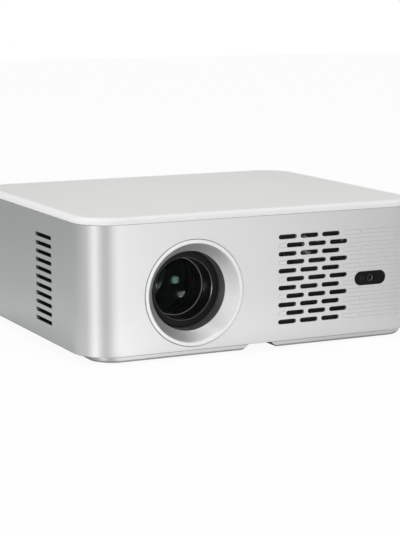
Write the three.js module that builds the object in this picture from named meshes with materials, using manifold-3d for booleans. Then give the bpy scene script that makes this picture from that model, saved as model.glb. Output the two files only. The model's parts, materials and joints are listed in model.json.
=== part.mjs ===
// A compact home projector: a silver wrap-around shell with a round lens bezel, a staggered vent,
// a pill-shaped sensor window, a white rimmed top cover with a grey inlay, and a stepped base.
// Inside are the focusing lens, its gear drive, the sealed light engine, two fans, boards and speakers.
// Millimetres. +Z is up, the lens looks along -Y, +X is to the right seen from the front.
// The origin is on the surface that the rubber feet stand on, under the middle of the body.
import * as THREE from "three";
import { mergeVertices } from "three/addons/utils/BufferGeometryUtils.js";
import Module from "manifold-3d";

const wasm = await Module();
wasm.setup();

// Driving dimensions of the body
const bodyWidth = 264;
const bodyDepth = 220;
const bodyHeight = 90;
const cornerRadius = 26;
const wall = 2.4;
const footDrop = 1.6;
const plinthHeight = 4.6;

// Clearances shared by the whole assembly
const gap = 0.3;
const overrun = 1;

// Smoothness of round shapes, in segments
const cornerSteps = 8;
const roundSteps = 36;
const tubeSteps = 28;
const lensSteps = 20;
const smallSteps = 12;
const boreSteps = 8;
const slotEndSteps = 3;

// Levels that the whole body is stacked on
const shellBottom = footDrop + plinthHeight;
const shellTop = shellBottom + bodyHeight;
const frontFace = -bodyDepth / 2;
const backFace = bodyDepth / 2;
const sideFace = bodyWidth / 2;

// Materials, one for each finish
const finish = (color, roughness, metalness, extra = {}) =>
  new THREE.MeshStandardMaterial({ color, roughness, metalness, ...extra });
const silverPaint = finish(0xd2d4d4, 0.38, 0.55);
const whitePlastic = finish(0xf1f2f0, 0.45, 0);
const greyPanel = finish(0xd9d9d7, 0.6, 0);
const blackPlastic = finish(0x151617, 0.5, 0);
const blackGloss = finish(0x08090a, 0.12, 0);
const darkPlastic = finish(0x3a3c3e, 0.6, 0);
const rubber = finish(0x202020, 0.9, 0);
const steel = finish(0xb8babc, 0.3, 1);
const brass = finish(0xc8a24a, 0.35, 1);
const aluminium = finish(0xc9cbcd, 0.4, 1);
const glass = finish(0x9fb8b0, 0.05, 0, { transparent: true, opacity: 0.35 });
const mirrorCoat = finish(0xe8ecee, 0.03, 1);
const boardGreen = finish(0x1f5a38, 0.55, 0);
const foam = finish(0x1b1c1d, 1, 0);

// Solids from three.js geometry, so that they can be joined and cut
function toSolid(geometry) {
  const plain = new THREE.BufferGeometry();
  const source = geometry.index ? geometry.toNonIndexed() : geometry;
  plain.setAttribute("position", source.getAttribute("position"));
  const merged = mergeVertices(plain, 1e-4);
  const index = merged.index.array;
  const triVerts = [];
  for (let i = 0; i < index.length; i += 3) {
    const [a, b, c] = [index[i], index[i + 1], index[i + 2]];
    if (a !== b && b !== c && a !== c) triVerts.push(a, b, c);
  }
  const vertProperties = merged.attributes.position.array;
  const build = (tris) =>
    new wasm.Manifold(
      new wasm.Mesh({ numProp: 3, vertProperties, triVerts: new Uint32Array(tris) }),
    );
  const made = build(triVerts);
  if (made.volume() > 0) return made;
  return build(triVerts.reverse());
}

function toGeometry(solid) {
  const { vertProperties, triVerts } = solid.getMesh();
  const geometry = new THREE.BufferGeometry();
  geometry.setAttribute("position", new THREE.BufferAttribute(vertProperties, 3));
  geometry.setIndex(new THREE.BufferAttribute(triVerts, 1));
  geometry.computeVertexNormals();
  return geometry;
}

const join = (...solids) => solids.reduce((all, one) => all.add(one));
const cut = (solid, ...tools) => tools.reduce((left, tool) => left.subtract(tool), solid);

// Outlines
function roundedRectangle(width, height, radius, x = 0, y = 0) {
  const [w, h] = [width / 2, height / 2];
  const outline = new THREE.Shape();
  outline.absarc(x + w - radius, y + h - radius, radius, 0, Math.PI / 2);
  outline.absarc(x - w + radius, y + h - radius, radius, Math.PI / 2, Math.PI);
  outline.absarc(x - w + radius, y - h + radius, radius, Math.PI, Math.PI * 1.5);
  outline.absarc(x + w - radius, y - h + radius, radius, Math.PI * 1.5, Math.PI * 2);
  outline.closePath();
  return outline;
}

function slotOutline(length, height, x = 0, y = 0) {
  const radius = height / 2;
  const reach = length / 2 - radius;
  const outline = new THREE.Shape();
  outline.absarc(x + reach, y, radius, -Math.PI / 2, Math.PI / 2);
  outline.absarc(x - reach, y, radius, Math.PI / 2, Math.PI * 1.5);
  outline.closePath();
  return outline;
}

function polygon(points) {
  return new THREE.Shape(points.map(([x, y]) => new THREE.Vector2(x, y)));
}

// Prisms: an outline drawn in XY, XZ or YZ and carried along the third axis from one level to another.
// Every arc of the outline is drawn with the given number of steps: three.js gives an arc two for each
// of its curveSegments
const extrude = (outline, length, steps) =>
  new THREE.ExtrudeGeometry(outline, {
    depth: length,
    bevelEnabled: false,
    curveSegments: steps / 2,
  });
const prismZ = (outline, from, to, steps = cornerSteps) =>
  toSolid(extrude(outline, to - from, steps).translate(0, 0, from));
const prismY = (outline, from, to, steps = cornerSteps) =>
  toSolid(extrude(outline, to - from, steps).rotateX(Math.PI / 2).translate(0, to, 0));
const prismX = (outline, from, to, steps = cornerSteps) =>
  toSolid(
    extrude(outline, to - from, steps)
      .rotateX(Math.PI / 2)
      .rotateZ(Math.PI / 2)
      .translate(from, 0, 0),
  );

// A box between two corners
function box([x0, y0, z0], [x1, y1, z1]) {
  const geometry = new THREE.BoxGeometry(x1 - x0, y1 - y0, z1 - z0);
  return toSolid(geometry.translate((x0 + x1) / 2, (y0 + y1) / 2, (z0 + z1) / 2));
}

// Round solids: rods along an axis, and profiles of [radius, height] turned round an axis
function rodZ(radius, from, to, x = 0, y = 0, steps = smallSteps) {
  const geometry = new THREE.CylinderGeometry(radius, radius, to - from, steps);
  return toSolid(geometry.rotateX(Math.PI / 2).translate(x, y, (from + to) / 2));
}
function rodY(radius, from, to, x = 0, z = 0, steps = smallSteps) {
  const geometry = new THREE.CylinderGeometry(radius, radius, to - from, steps);
  return toSolid(geometry.translate(x, (from + to) / 2, z));
}
function rodX(radius, from, to, y = 0, z = 0, steps = smallSteps) {
  const geometry = new THREE.CylinderGeometry(radius, radius, to - from, steps);
  return toSolid(geometry.rotateZ(Math.PI / 2).translate((from + to) / 2, y, z));
}
function turned(profile, steps = roundSteps) {
  const points = profile.map(([radius, height]) => new THREE.Vector2(radius, height));
  return toSolid(new THREE.LatheGeometry([...points, points[0]], steps));
}

// A body whose rounded-rectangle outline is drawn in by a different amount at each level
function stacked(width, depth, radius, levels) {
  const rings = levels.map(({ z, inset }) => {
    const ring = [];
    const r = radius - inset;
    const centres = [
      [width / 2 - radius, depth / 2 - radius],
      [radius - width / 2, depth / 2 - radius],
      [radius - width / 2, radius - depth / 2],
      [width / 2 - radius, radius - depth / 2],
    ];
    centres.forEach(([x, y], quarter) => {
      for (let i = 0; i <= cornerSteps; i++) {
        const angle = (Math.PI / 2) * (quarter + i / cornerSteps);
        ring.push([x + r * Math.cos(angle), y + r * Math.sin(angle), z]);
      }
    });
    return ring;
  });
  const count = rings[0].length;
  const index = [];
  for (let level = 0; level + 1 < rings.length; level++)
    for (let i = 0; i < count; i++) {
      const j = (i + 1) % count;
      const [a, b] = [level * count + i, level * count + j];
      index.push(a, b, b + count, a, b + count, a + count);
    }
  const top = (rings.length - 1) * count;
  for (let i = 1; i + 1 < count; i++) {
    index.push(0, i + 1, i);
    index.push(top, top + i, top + i + 1);
  }
  const geometry = new THREE.BufferGeometry();
  const positions = new THREE.Float32BufferAttribute(rings.flat(2), 3);
  geometry.setAttribute("position", positions);
  geometry.setIndex(index);
  return toSolid(geometry);
}

const outlineInset = (inset) =>
  roundedRectangle(bodyWidth - 2 * inset, bodyDepth - 2 * inset, cornerRadius - inset);

// The scene
const projector = new THREE.Group();
function place(parent, name, solid, material) {
  const mesh = new THREE.Mesh(toGeometry(solid), material);
  mesh.name = name;
  parent.add(mesh);
  return mesh;
}
function groupAt(x, y, z) {
  const group = new THREE.Group();
  group.position.set(x, y, z);
  projector.add(group);
  return group;
}

// Bottom cover: a stepped plinth with a flange inside the shell
const cover = {
  floor: 2.5,
  flange: 2.5,
  sideInset: 9,
  frontInset: 3,
  radius: 22,
  chamfer: 1.5,
  shadowHeight: 0.8,
  shadowDepth: 0.8,
};
const plinthWidth = bodyWidth - 2 * cover.sideInset;
const plinthDepth = bodyDepth - 2 * cover.frontInset;
const coverFloorTop = footDrop + cover.floor;
const flangeTop = shellBottom + cover.flange;
const flangeInset = wall + gap;

// Shell: one wrap-around wall that stands on the cover's flange by its inner lip
const lip = { thickness: 2, width: 3 };
const lipBottom = flangeTop + gap;
const lipTop = lipBottom + lip.thickness;

// The lens, the vent and the sensor window keep their shares of the width, measured from the middle
const acrossShares = { lens: -0.1989, vent: 0.142, sensor: 0.3326 };

// Lens axis and bezel. Depths are measured back from the front face
const lens = { x: acrossShares.lens * bodyWidth, z: 46 };
const bezel = {
  radius: 37.2,
  proud: 0.8,
  lipInnerRadius: 34.4,
  lipEdge: 0.9,
  throatRadius: 28,
  throatWall: 2,
  coneDepth: 9.4,
  bodyRadius: 34,
  length: 19,
  earReach: 5,
  earWidth: 9,
  earThickness: 2,
};

// Front vent: three columns of slots in eleven staggered rows
const vent = {
  x: acrossShares.vent * bodyWidth,
  z: 50,
  rows: 11,
  rowPitch: 6.05,
  columns: 3,
  columnPitch: 17.45,
  stagger: 6.4,
  slotLength: 14.1,
  slotHeight: 3,
};

// The light engine reaches to either side of the lens axis, and keeps its shares of the depth
const engineReach = { left: 45.5, right: 110 };
const engineDepthShares = { front: 0.4545, back: 0.8364 };
const engine = {
  left: lens.x - engineReach.left,
  right: lens.x + engineReach.right,
  front: frontFace + engineDepthShares.front * bodyDepth,
  back: frontFace + engineDepthShares.back * bodyDepth,
  bottom: 12,
  top: 80,
  wall: 2.5,
  lidThickness: 2.2,
  standRadius: 4,
  standInset: 8,
};
const opticY = (engine.front + engine.back) / 2;

// Side vents: one block on the left, two on the right where the lamp fan blows out
const intakeDepth = 81;
const sideVent = {
  slotLength: 31,
  slotHeight: 2.4,
  leftY: frontFace + intakeDepth,
  rightY: opticY,
  blockPitch: 35,
};

// Sensor window
const sensor = {
  x: acrossShares.sensor * bodyWidth,
  z: lens.z,
  length: 25.3,
  height: 9.5,
  flangeGrow: 2.4,
  flangeThickness: 1.2,
  recess: 0.2,
  cameraX: 0.6,
  cameraRadius: 2.5,
  rangerX: -6,
  rangerRadius: 1.7,
};

// Rear panel, on the flat part of the back
const rearMargin = 4.3;
const rear = {
  width: bodyWidth - 2 * (cornerRadius + rearMargin),
  height: 49.4,
  radius: 6,
  z: 45,
  flangeGrow: 7,
  flangeThickness: 1.5,
};

// Rows of vents share their heights with the front vent
const rowHeight = (row) => vent.z + vent.rowPitch * ((vent.rows - 1) / 2 - row);

function makeShell() {
  const inner = outlineInset(wall);
  const lipHole = outlineInset(wall + lip.width);
  let shell = prismZ(outlineInset(0), shellBottom, shellTop, cornerSteps);
  shell = cut(
    shell,
    prismZ(inner, shellBottom - overrun, lipBottom, cornerSteps),
    prismZ(inner, lipTop, shellTop + overrun, cornerSteps),
    prismZ(lipHole, shellBottom, shellTop, cornerSteps),
  );
  const through = [frontFace - overrun, frontFace + wall + overrun];
  shell = cut(shell, rodY(bezel.radius + gap, ...through, lens.x, lens.z, roundSteps));
  const windowHole = slotOutline(
    sensor.length + 2 * gap,
    sensor.height + 2 * gap,
    sensor.x,
    sensor.z,
  );
  shell = cut(shell, prismY(windowHole, ...through, 2 * slotEndSteps));
  for (let row = 0; row < vent.rows; row++)
    for (let column = 0; column < vent.columns; column++) {
      const shift = row % 2 ? vent.stagger : 0;
      const x = vent.x + vent.columnPitch * (column - (vent.columns - 1) / 2) + shift;
      const slot = slotOutline(vent.slotLength, vent.slotHeight, x, rowHeight(row));
      shell = cut(shell, prismY(slot, ...through, slotEndSteps));
    }
  const { leftY, rightY, blockPitch } = sideVent;
  const blocks = [
    [-1, leftY],
    [1, rightY - blockPitch / 2],
    [1, rightY + blockPitch / 2],
  ];
  for (const [side, y] of blocks) {
    const [from, to] = [sideFace - wall - overrun, sideFace + overrun];
    for (let row = 0; row < vent.rows; row++) {
      const slot = slotOutline(sideVent.slotLength, sideVent.slotHeight, y, rowHeight(row));
      const [near, far] = side > 0 ? [from, to] : [-to, -from];
      shell = cut(shell, prismX(slot, near, far, slotEndSteps));
    }
  }
  const opening = roundedRectangle(
    rear.width + 2 * gap,
    rear.height + 2 * gap,
    rear.radius + gap,
    0,
    rear.z,
  );
  return cut(shell, prismY(opening, backFace - wall - overrun, backFace + overrun, 6));
}
place(projector, "wrap_shell", makeShell(), silverPaint);

// Screw posts: the bottom cover's posts and the top cover's bosses meet end to end
const postInset = { side: 28, back: 25 };
const post = {
  x: sideFace - postInset.side,
  y: backFace - postInset.back,
  radius: 5.5,
  joint: 45,
  screwRadius: 1.5,
  headRadius: 3,
  headHeight: 2.2,
  screwBite: 16,
};
const foot = { radius: 9, seat: 1.1, edge: 0.5 };
const posts = [
  ["front_left", -1, -1],
  ["front_right", 1, -1],
  ["rear_left", -1, 1],
  ["rear_right", 1, 1],
].map(([corner, sx, sy]) => ({ corner, x: sx * post.x, y: sy * post.y }));
const footSeatTop = footDrop + foot.seat + gap;
const headBottom = footSeatTop + gap;
const headTop = headBottom + post.headHeight;

// Top cover: a soft-edged rim and deck, a locating lip inside the shell, and four bosses
const rim = {
  height: 4.8,
  seam: 0.4,
  inset: 0.2,
  edge: 2.6,
  inlayInset: 4,
  inlayThickness: 1.15,
  inlayDrop: 0.05,
  lipWidth: 2,
  lipDepth: 5,
};
const topZ = shellTop + rim.height;
const deckBottom = shellTop + rim.seam;
const inlayBottom = topZ - rim.inlayDrop - rim.inlayThickness;

function makeTopCover() {
  const rise = topZ - deckBottom;
  const levelShares = [
    [0, rim.inset],
    [0.35, 0],
    [0.66, rim.edge * 0.12],
    [0.88, rim.edge * 0.45],
    [1, rim.edge],
  ];
  const levels = levelShares.map(([share, inset]) => ({ z: deckBottom + share * rise, inset }));
  const body = stacked(bodyWidth, bodyDepth, cornerRadius, levels);
  const recess = outlineInset(rim.inlayInset - gap);
  const lipOuter = outlineInset(wall + gap);
  const lipInner = outlineInset(wall + gap + rim.lipWidth);
  const lipFrom = shellTop - rim.lipDepth;
  const lipRing = cut(
    prismZ(lipOuter, lipFrom, deckBottom + rim.seam, cornerSteps),
    prismZ(lipInner, lipFrom - overrun, topZ, cornerSteps),
  );
  const bosses = posts.map(({ x, y }) =>
    cut(
      rodZ(post.radius, post.joint + gap, deckBottom + rim.seam, x, y),
      rodZ(
        post.screwRadius + gap,
        post.joint,
        post.joint + post.screwBite + overrun,
        x,
        y,
        boreSteps,
      ),
    ),
  );
  return join(
    cut(body, prismZ(recess, inlayBottom - gap, topZ + overrun, cornerSteps)),
    lipRing,
    ...bosses,
  );
}
place(projector, "top_cover", makeTopCover(), whitePlastic);
place(
  projector,
  "top_inlay",
  prismZ(outlineInset(rim.inlayInset), inlayBottom, topZ - rim.inlayDrop, cornerSteps),
  greyPanel,
);

// Tilt foot: a leg that folds up into a pocket, which opens to the front as the finger notch
const leg = {
  width: 15,
  thickness: 3.2,
  tipInset: 24,
  hingeInset: 66,
  pinRadius: 1,
  pinReach: 3,
  endRelief: 3,
};
const notch = { topWidth: 16.6, bottomWidth: 27, roof: 0.2, wall: 2.5 };
const pocketRoof = shellBottom - notch.roof;
const hingeY = frontFace + leg.hingeInset;
const legZ = pocketRoof - gap - leg.thickness / 2;
const pocketBack = hingeY + leg.thickness / 2 + leg.endRelief;
const pocketHalfAt = (z) => {
  const share = (z - footDrop) / (pocketRoof - footDrop);
  return (notch.bottomWidth + (notch.topWidth - notch.bottomWidth) * share) / 2;
};
const pinHalf = pocketHalfAt(legZ) + leg.pinReach;

// What stands on the bottom cover: places and sizes of the inner assemblies
const fan = {
  size: 60,
  depth: 15,
  cornerRadius: 4,
  boreRadius: 28.6,
  hubRadius: 12.5,
  bladeRadius: 27.6,
  plate: 2.4,
  spokeWidth: 4,
  blades: 7,
  bladeThickness: 1.2,
  setBack: 10,
};
const frontFan = { x: vent.x + vent.stagger / 2, z: vent.z, front: frontFace + wall + fan.setBack };
const lamp = { size: 54, thickness: 2, emitter: 24, emitterHeight: 1.6 };
const sink = { base: 4, finHeight: 15, fins: 13, finThickness: 1.6, size: fan.size };
const lampBoardX = engine.right + gap;
const sinkX = lampBoardX + lamp.thickness + gap;
const lampFan = { x: sinkX + sink.base + sink.finHeight + gap, y: opticY, z: lens.z };
const speaker = {
  inset: 17.7,
  size: 34,
  frame: 3,
  coneRadius: 14.5,
  coneDepth: 5,
  magnetRadius: 11,
  depth: 15,
  slots: 5,
  slotPitch: 5.6,
  slotHeight: 2,
  slotLength: 26,
};
const speakerX = rear.width / 2 - speaker.inset;
const portShares = {
  remote: -0.2655,
  audio: -0.1995,
  usb: -0.1245,
  hdmi: -0.029,
  button: 0.0688,
  inlet: 0.1967,
};
const inlet = {
  x: portShares.inlet * rear.width,
  width: 24,
  height: 13,
  mouthWidth: 17.6,
  mouthHeight: 9.4,
  depth: 19,
  mouthDepth: 13,
  pinRadius: 1.2,
  pinSpacing: 8.6,
  edge: 2,
  pinSetBack: 2,
};
const boardSpace = { side: 1, behind: 20 };
const mainBoard = {
  left: speaker.size / 2 + boardSpace.side - speakerX,
  right: inlet.x - inlet.width / 2 - boardSpace.side,
  y: backFace - boardSpace.behind,
  thickness: 1.6,
  bottom: 12,
  height: 66,
  rib: 3,
};
const powerSpace = { side: 32, front: 35, back: 3 };
const powerBoard = {
  x: sideFace - powerSpace.side,
  front: frontFace + powerSpace.front,
  back: engine.front - powerSpace.back,
  width: 44,
  thickness: 1.6,
  z: 14,
  inset: 4,
  stand: 3,
};
const tripod = { y: 12, radius: 5, boreRadius: 3.2, length: 10, wall: 3, recess: 0.3 };

function makeBottomCover() {
  const plinthLevels = [
    { z: footDrop, inset: cover.chamfer },
    { z: footDrop + cover.chamfer, inset: 0 },
    { z: shellBottom - cover.shadowHeight, inset: 0 },
    { z: shellBottom - cover.shadowHeight, inset: cover.shadowDepth },
    { z: flangeTop, inset: cover.shadowDepth },
  ];
  const plinth = stacked(plinthWidth, plinthDepth, cover.radius, plinthLevels);
  const flange = prismZ(outlineInset(flangeInset), shellBottom, flangeTop, cornerSteps);
  const hollow = roundedRectangle(
    plinthWidth - 2 * (cover.floor + cover.shadowDepth),
    plinthDepth - 2 * (cover.floor + cover.shadowDepth),
    cover.radius - cover.floor - cover.shadowDepth,
  );
  let body = cut(
    join(plinth, flange),
    prismZ(hollow, coverFloorTop, flangeTop + overrun, cornerSteps),
  );

  const pocketHalf = notch.bottomWidth / 2 + notch.wall;
  const pocketFront = frontFace + cover.frontInset + cover.floor;
  body = join(
    body,
    box(
      [-pocketHalf, pocketFront, coverFloorTop - notch.roof],
      [pocketHalf, pocketBack + notch.wall, pocketRoof + notch.wall],
    ),
  );
  const standFloor = coverFloorTop - notch.roof;
  const engineStands = [
    [engine.left + engine.standInset, engine.front + engine.standInset],
    [engine.left + engine.standInset, engine.back - engine.standInset],
    [engine.right - engine.standInset, engine.front + engine.standInset],
    [engine.right - engine.standInset, engine.back - engine.standInset],
  ].map(([x, y]) => rodZ(engine.standRadius, standFloor, engine.bottom - gap, x, y, boreSteps));
  const boardStands = [-1, 1].flatMap((side) =>
    [powerBoard.front + powerBoard.inset, powerBoard.back - powerBoard.inset].map((y) =>
      rodZ(
        powerBoard.stand,
        standFloor,
        powerBoard.z - gap,
        powerBoard.x + side * (powerBoard.width / 2 - powerBoard.inset),
        y,
        boreSteps,
      ),
    ),
  );
  const mainBoardRib = box(
    [mainBoard.left, mainBoard.y - mainBoard.rib, standFloor],
    [mainBoard.right, mainBoard.y + mainBoard.thickness + mainBoard.rib, mainBoard.bottom - gap],
  );
  const fanShelf = box(
    [frontFan.x - fan.size / 2, frontFace + wall + lip.width + gap, standFloor],
    [frontFan.x + fan.size / 2, frontFan.front + fan.depth, frontFan.z - fan.size / 2 - gap],
  );
  const sinkShelf = box(
    [lampFan.x - sink.finHeight, lampFan.y - sink.size / 4, standFloor],
    [lampFan.x + fan.depth, lampFan.y + sink.size / 4, lampFan.z - fan.size / 2 - gap],
  );
  const tripodBoss = rodZ(
    tripod.radius + gap + tripod.wall,
    footDrop,
    footDrop + tripod.recess + tripod.length,
    0,
    tripod.y,
  );
  const postColumns = posts.map(({ x, y }) => rodZ(post.radius, standFloor, post.joint, x, y));
  body = join(
    body,
    ...engineStands,
    ...boardStands,
    mainBoardRib,
    fanShelf,
    sinkShelf,
    tripodBoss,
    ...postColumns,
  );

  for (const { x, y } of posts)
    body = cut(
      body,
      rodZ(foot.radius + gap, footDrop - overrun, footSeatTop, x, y, lensSteps),
      rodZ(post.headRadius + gap, footDrop, headTop + gap, x, y),
      rodZ(post.screwRadius + gap, footDrop, post.joint + overrun, x, y, boreSteps),
    );
  const pocket = prismY(
    polygon([
      [-notch.bottomWidth / 2, footDrop],
      [-notch.bottomWidth / 2, footDrop - overrun],
      [notch.bottomWidth / 2, footDrop - overrun],
      [notch.bottomWidth / 2, footDrop],
      [notch.topWidth / 2, pocketRoof],
      [-notch.topWidth / 2, pocketRoof],
    ]),
    frontFace,
    pocketBack,
  );
  const pinHole = rodX(leg.pinRadius + gap, -pinHalf - gap, pinHalf + gap, hingeY, legZ);
  const tripodBore = rodZ(tripod.radius + gap, 0, shellTop, 0, tripod.y);
  return cut(body, pocket, pinHole, tripodBore);
}
place(projector, "bottom_cover", makeBottomCover(), silverPaint);

for (const { corner, x, y } of posts) {
  const pad = turned([
    [0, 0],
    [foot.radius - foot.edge, 0],
    [foot.radius, foot.edge],
    [foot.radius, footSeatTop - gap],
    [0, footSeatTop - gap],
  ], lensSteps);
  const padGroup = groupAt(x, y, 0);
  const padMesh = place(padGroup, `foot_${corner}`, pad, rubber);
  padMesh.rotation.x = Math.PI / 2;
  const screw = join(
    rodZ(post.headRadius, headBottom, headTop),
    rodZ(post.screwRadius, headTop - gap, post.joint + post.screwBite, 0, 0, boreSteps),
  );
  place(padGroup, `case_screw_${corner}`, screw, steel);
}

const legOutline = new THREE.Shape();
legOutline.absarc(0, 0, leg.thickness / 2, -Math.PI / 2, Math.PI / 2);
legOutline.lineTo(leg.tipInset - leg.hingeInset, leg.thickness / 2);
legOutline.lineTo(leg.tipInset - leg.hingeInset, 0);
legOutline.lineTo(leg.tipInset - leg.hingeInset + leg.thickness / 2, -leg.thickness / 2);
legOutline.closePath();
const legGroup = groupAt(0, hingeY, legZ);
place(
  legGroup,
  "tilt_foot",
  cut(
    prismX(legOutline, -leg.width / 2, leg.width / 2, 8),
    rodX(leg.pinRadius + gap, -leg.width, leg.width),
  ),
  silverPaint,
);
place(legGroup, "tilt_foot_pin", rodX(leg.pinRadius, -pinHalf, pinHalf), steel);

const insertBottom = footDrop + tripod.recess;
place(
  projector,
  "tripod_insert",
  cut(
    rodZ(tripod.radius, insertBottom, insertBottom + tripod.length, 0, tripod.y),
    rodZ(tripod.boreRadius, 0, shellTop, 0, tripod.y),
  ),
  brass,
);

// Lens bezel: rounded lip, cone and throat in one turned ring, with three ears behind the shell
function makeBezel() {
  const { proud, throatRadius, throatWall, coneDepth, bodyRadius, length } = bezel;
  const behindWall = frontFace + wall + gap;
  const profile = [
    [bodyRadius, behindWall],
    [bezel.radius, behindWall - gap],
    [bezel.radius, frontFace],
    [bezel.radius - bezel.lipEdge / 2, frontFace - proud * 0.75],
    [bezel.radius - bezel.lipEdge, frontFace - proud],
    [bezel.lipInnerRadius + bezel.lipEdge / 2, frontFace - proud],
    [bezel.lipInnerRadius, frontFace - proud / 2],
    [throatRadius, frontFace + coneDepth],
    [throatRadius, frontFace + length],
    [throatRadius + throatWall, frontFace + length],
    [throatRadius + throatWall, frontFace + coneDepth],
    [bodyRadius, frontFace + wall + bezel.earThickness + gap],
  ];
  const ears = [0, Math.PI / 2, Math.PI].map((angle) => {
    const ear = box(
      [throatRadius + throatWall, behindWall, -bezel.earWidth / 2],
      [bezel.radius + bezel.earReach, behindWall + bezel.earThickness, bezel.earWidth / 2],
    );
    return ear.rotate([0, -THREE.MathUtils.radToDeg(angle), 0]);
  });
  const clear = rodY(throatRadius + throatWall / 2, frontFace + coneDepth / 2, 0, 0, 0, roundSteps);
  return join(turned(profile), ...ears.map((ear) => cut(ear, clear)));
}
const lensGroup = groupAt(lens.x, 0, lens.z);
place(lensGroup, "lens_bezel", makeBezel(), silverPaint);

// Focusing lens: a fixed tube on the light engine, a toothed ring round it, and a barrel that slides in it
const barrel = {
  radius: 27,
  frontDepth: 14.8,
  mouthRadius: 25.6,
  stepRadius: 24.2,
  stepDepth: 20,
  glassRadius: 21.2,
  glassDepth: 28,
  pocketRadius: 24,
  length: 58,
};
const tube = {
  thickness: 2.2,
  frontDepth: 30,
  flange: 4,
  flangeRadius: 33.5,
  collar: 2,
  collarRadius: 31.6,
};
const gear = {
  module: 1.75,
  ringTeeth: 40,
  pinionTeeth: 10,
  width: 10,
  depth: 64,
  addendumShare: 0.75,
  dedendumShare: 1.1,
  rootWidthShare: 0.5,
  tipWidthShare: 0.22,
};
const ringPitch = (gear.module * gear.ringTeeth) / 2;
const pinionPitch = (gear.module * gear.pinionTeeth) / 2;
const gearSpread = ringPitch + pinionPitch;
const tubeInner = barrel.radius + gap;
const tubeOuter = tubeInner + tube.thickness;
const gearFront = frontFace + gear.depth;
const gearBack = gearFront + gear.width;

function gearOutline(teeth, firstAngle) {
  const pitch = (gear.module * teeth) / 2;
  const tip = pitch + gear.module * gear.addendumShare;
  const root = pitch - gear.module * gear.dedendumShare;
  const step = (2 * Math.PI) / teeth;
  const outline = [];
  for (let tooth = 0; tooth < teeth; tooth++) {
    const centre = firstAngle + tooth * step;
    const corners = [
      [root, -gear.rootWidthShare / 2],
      [tip, -gear.tipWidthShare / 2],
      [tip, gear.tipWidthShare / 2],
      [root, gear.rootWidthShare / 2],
    ];
    for (const [radius, share] of corners) {
      const angle = centre + share * step;
      outline.push([radius * Math.cos(angle), radius * Math.sin(angle)]);
    }
  }
  return polygon(outline);
}

function makeLensTube() {
  const back = engine.front - gap;
  const profile = [
    [tubeInner, frontFace + tube.frontDepth],
    [tubeOuter, frontFace + tube.frontDepth],
    [tubeOuter, gearFront - gap - tube.collar],
    [tube.collarRadius, gearFront - gap - tube.collar],
    [tube.collarRadius, gearFront - gap],
    [tubeOuter, gearFront - gap],
    [tubeOuter, gearBack + gap],
    [tube.collarRadius, gearBack + gap],
    [tube.collarRadius, back - tube.flange],
    [tube.flangeRadius, back - tube.flange],
    [tube.flangeRadius, back],
    [tubeInner, back],
  ];
  return turned(profile, tubeSteps);
}
place(lensGroup, "lens_tube", makeLensTube(), blackPlastic);

const ringInner = tubeOuter + gap;
place(
  lensGroup,
  "focus_ring",
  cut(
    prismY(gearOutline(gear.ringTeeth, 0), gearFront, gearBack),
    rodY(ringInner, gearFront - overrun, gearBack + overrun, 0, 0, tubeSteps),
  ),
  blackPlastic,
);

const barrelFront = frontFace + barrel.frontDepth;
const barrelBack = barrelFront + barrel.length;
const glassEdge = frontFace + barrel.glassDepth;
place(
  lensGroup,
  "lens_barrel",
  turned([
    [barrel.mouthRadius, barrelFront],
    [barrel.radius, barrelFront],
    [barrel.radius, barrelBack],
    [barrel.pocketRadius, barrelBack],
    [barrel.pocketRadius, glassEdge],
    [barrel.glassRadius, glassEdge],
    [barrel.stepRadius, frontFace + barrel.stepDepth],
  ]),
  blackPlastic,
);

// Lens elements: a flat disc whose clear middle bulges on either face, turned round the axis
const cap = (radius, bulge, edge, sign, steps) =>
  Array.from({ length: steps + 1 }, (_, i) => {
    const r = (radius * i) / steps;
    return [r, edge + sign * bulge * (1 - (r / radius) ** 2)];
  });
function makeLens(radius, clearRadius, front, back, frontBulge, backBulge) {
  const near = cap(clearRadius, frontBulge, front, -1, 3);
  const far = cap(clearRadius, backBulge, back, 1, 3).reverse();
  return turned([...near, [radius, front], [radius, back], ...far], lensSteps);
}
const element = { edge: 5, frontBulge: 4.2, backBulge: 2, rearEdge: 4, spacer: 14, spacerWall: 2, nut: 4 };
const elementRadius = barrel.pocketRadius - gap;
const frontEdge = glassEdge + gap;
const clearRadius = barrel.glassRadius - gap;
const spacerFrom = frontEdge + element.edge + gap;
const rearFrom = spacerFrom + element.spacer + gap;
const nutFrom = rearFrom + element.rearEdge + gap;
place(
  lensGroup,
  "front_lens",
  makeLens(
    elementRadius,
    clearRadius,
    frontEdge,
    frontEdge + element.edge,
    element.frontBulge,
    element.backBulge,
  ),
  glass,
);
const ringProfile = (inner, from, length) => [
  [inner, from],
  [elementRadius, from],
  [elementRadius, from + length],
  [inner, from + length],
];
const spacerInner = elementRadius - element.spacerWall;
place(
  lensGroup,
  "spacer_ring",
  turned(ringProfile(spacerInner, spacerFrom, element.spacer), lensSteps),
  blackPlastic,
);
place(
  lensGroup,
  "rear_lens",
  makeLens(
    elementRadius,
    clearRadius,
    rearFrom,
    rearFrom + element.rearEdge,
    element.backBulge,
    element.frontBulge,
  ),
  glass,
);
place(
  lensGroup,
  "retaining_ring",
  turned(ringProfile(spacerInner, nutFrom, element.nut), lensSteps),
  blackPlastic,
);

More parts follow.
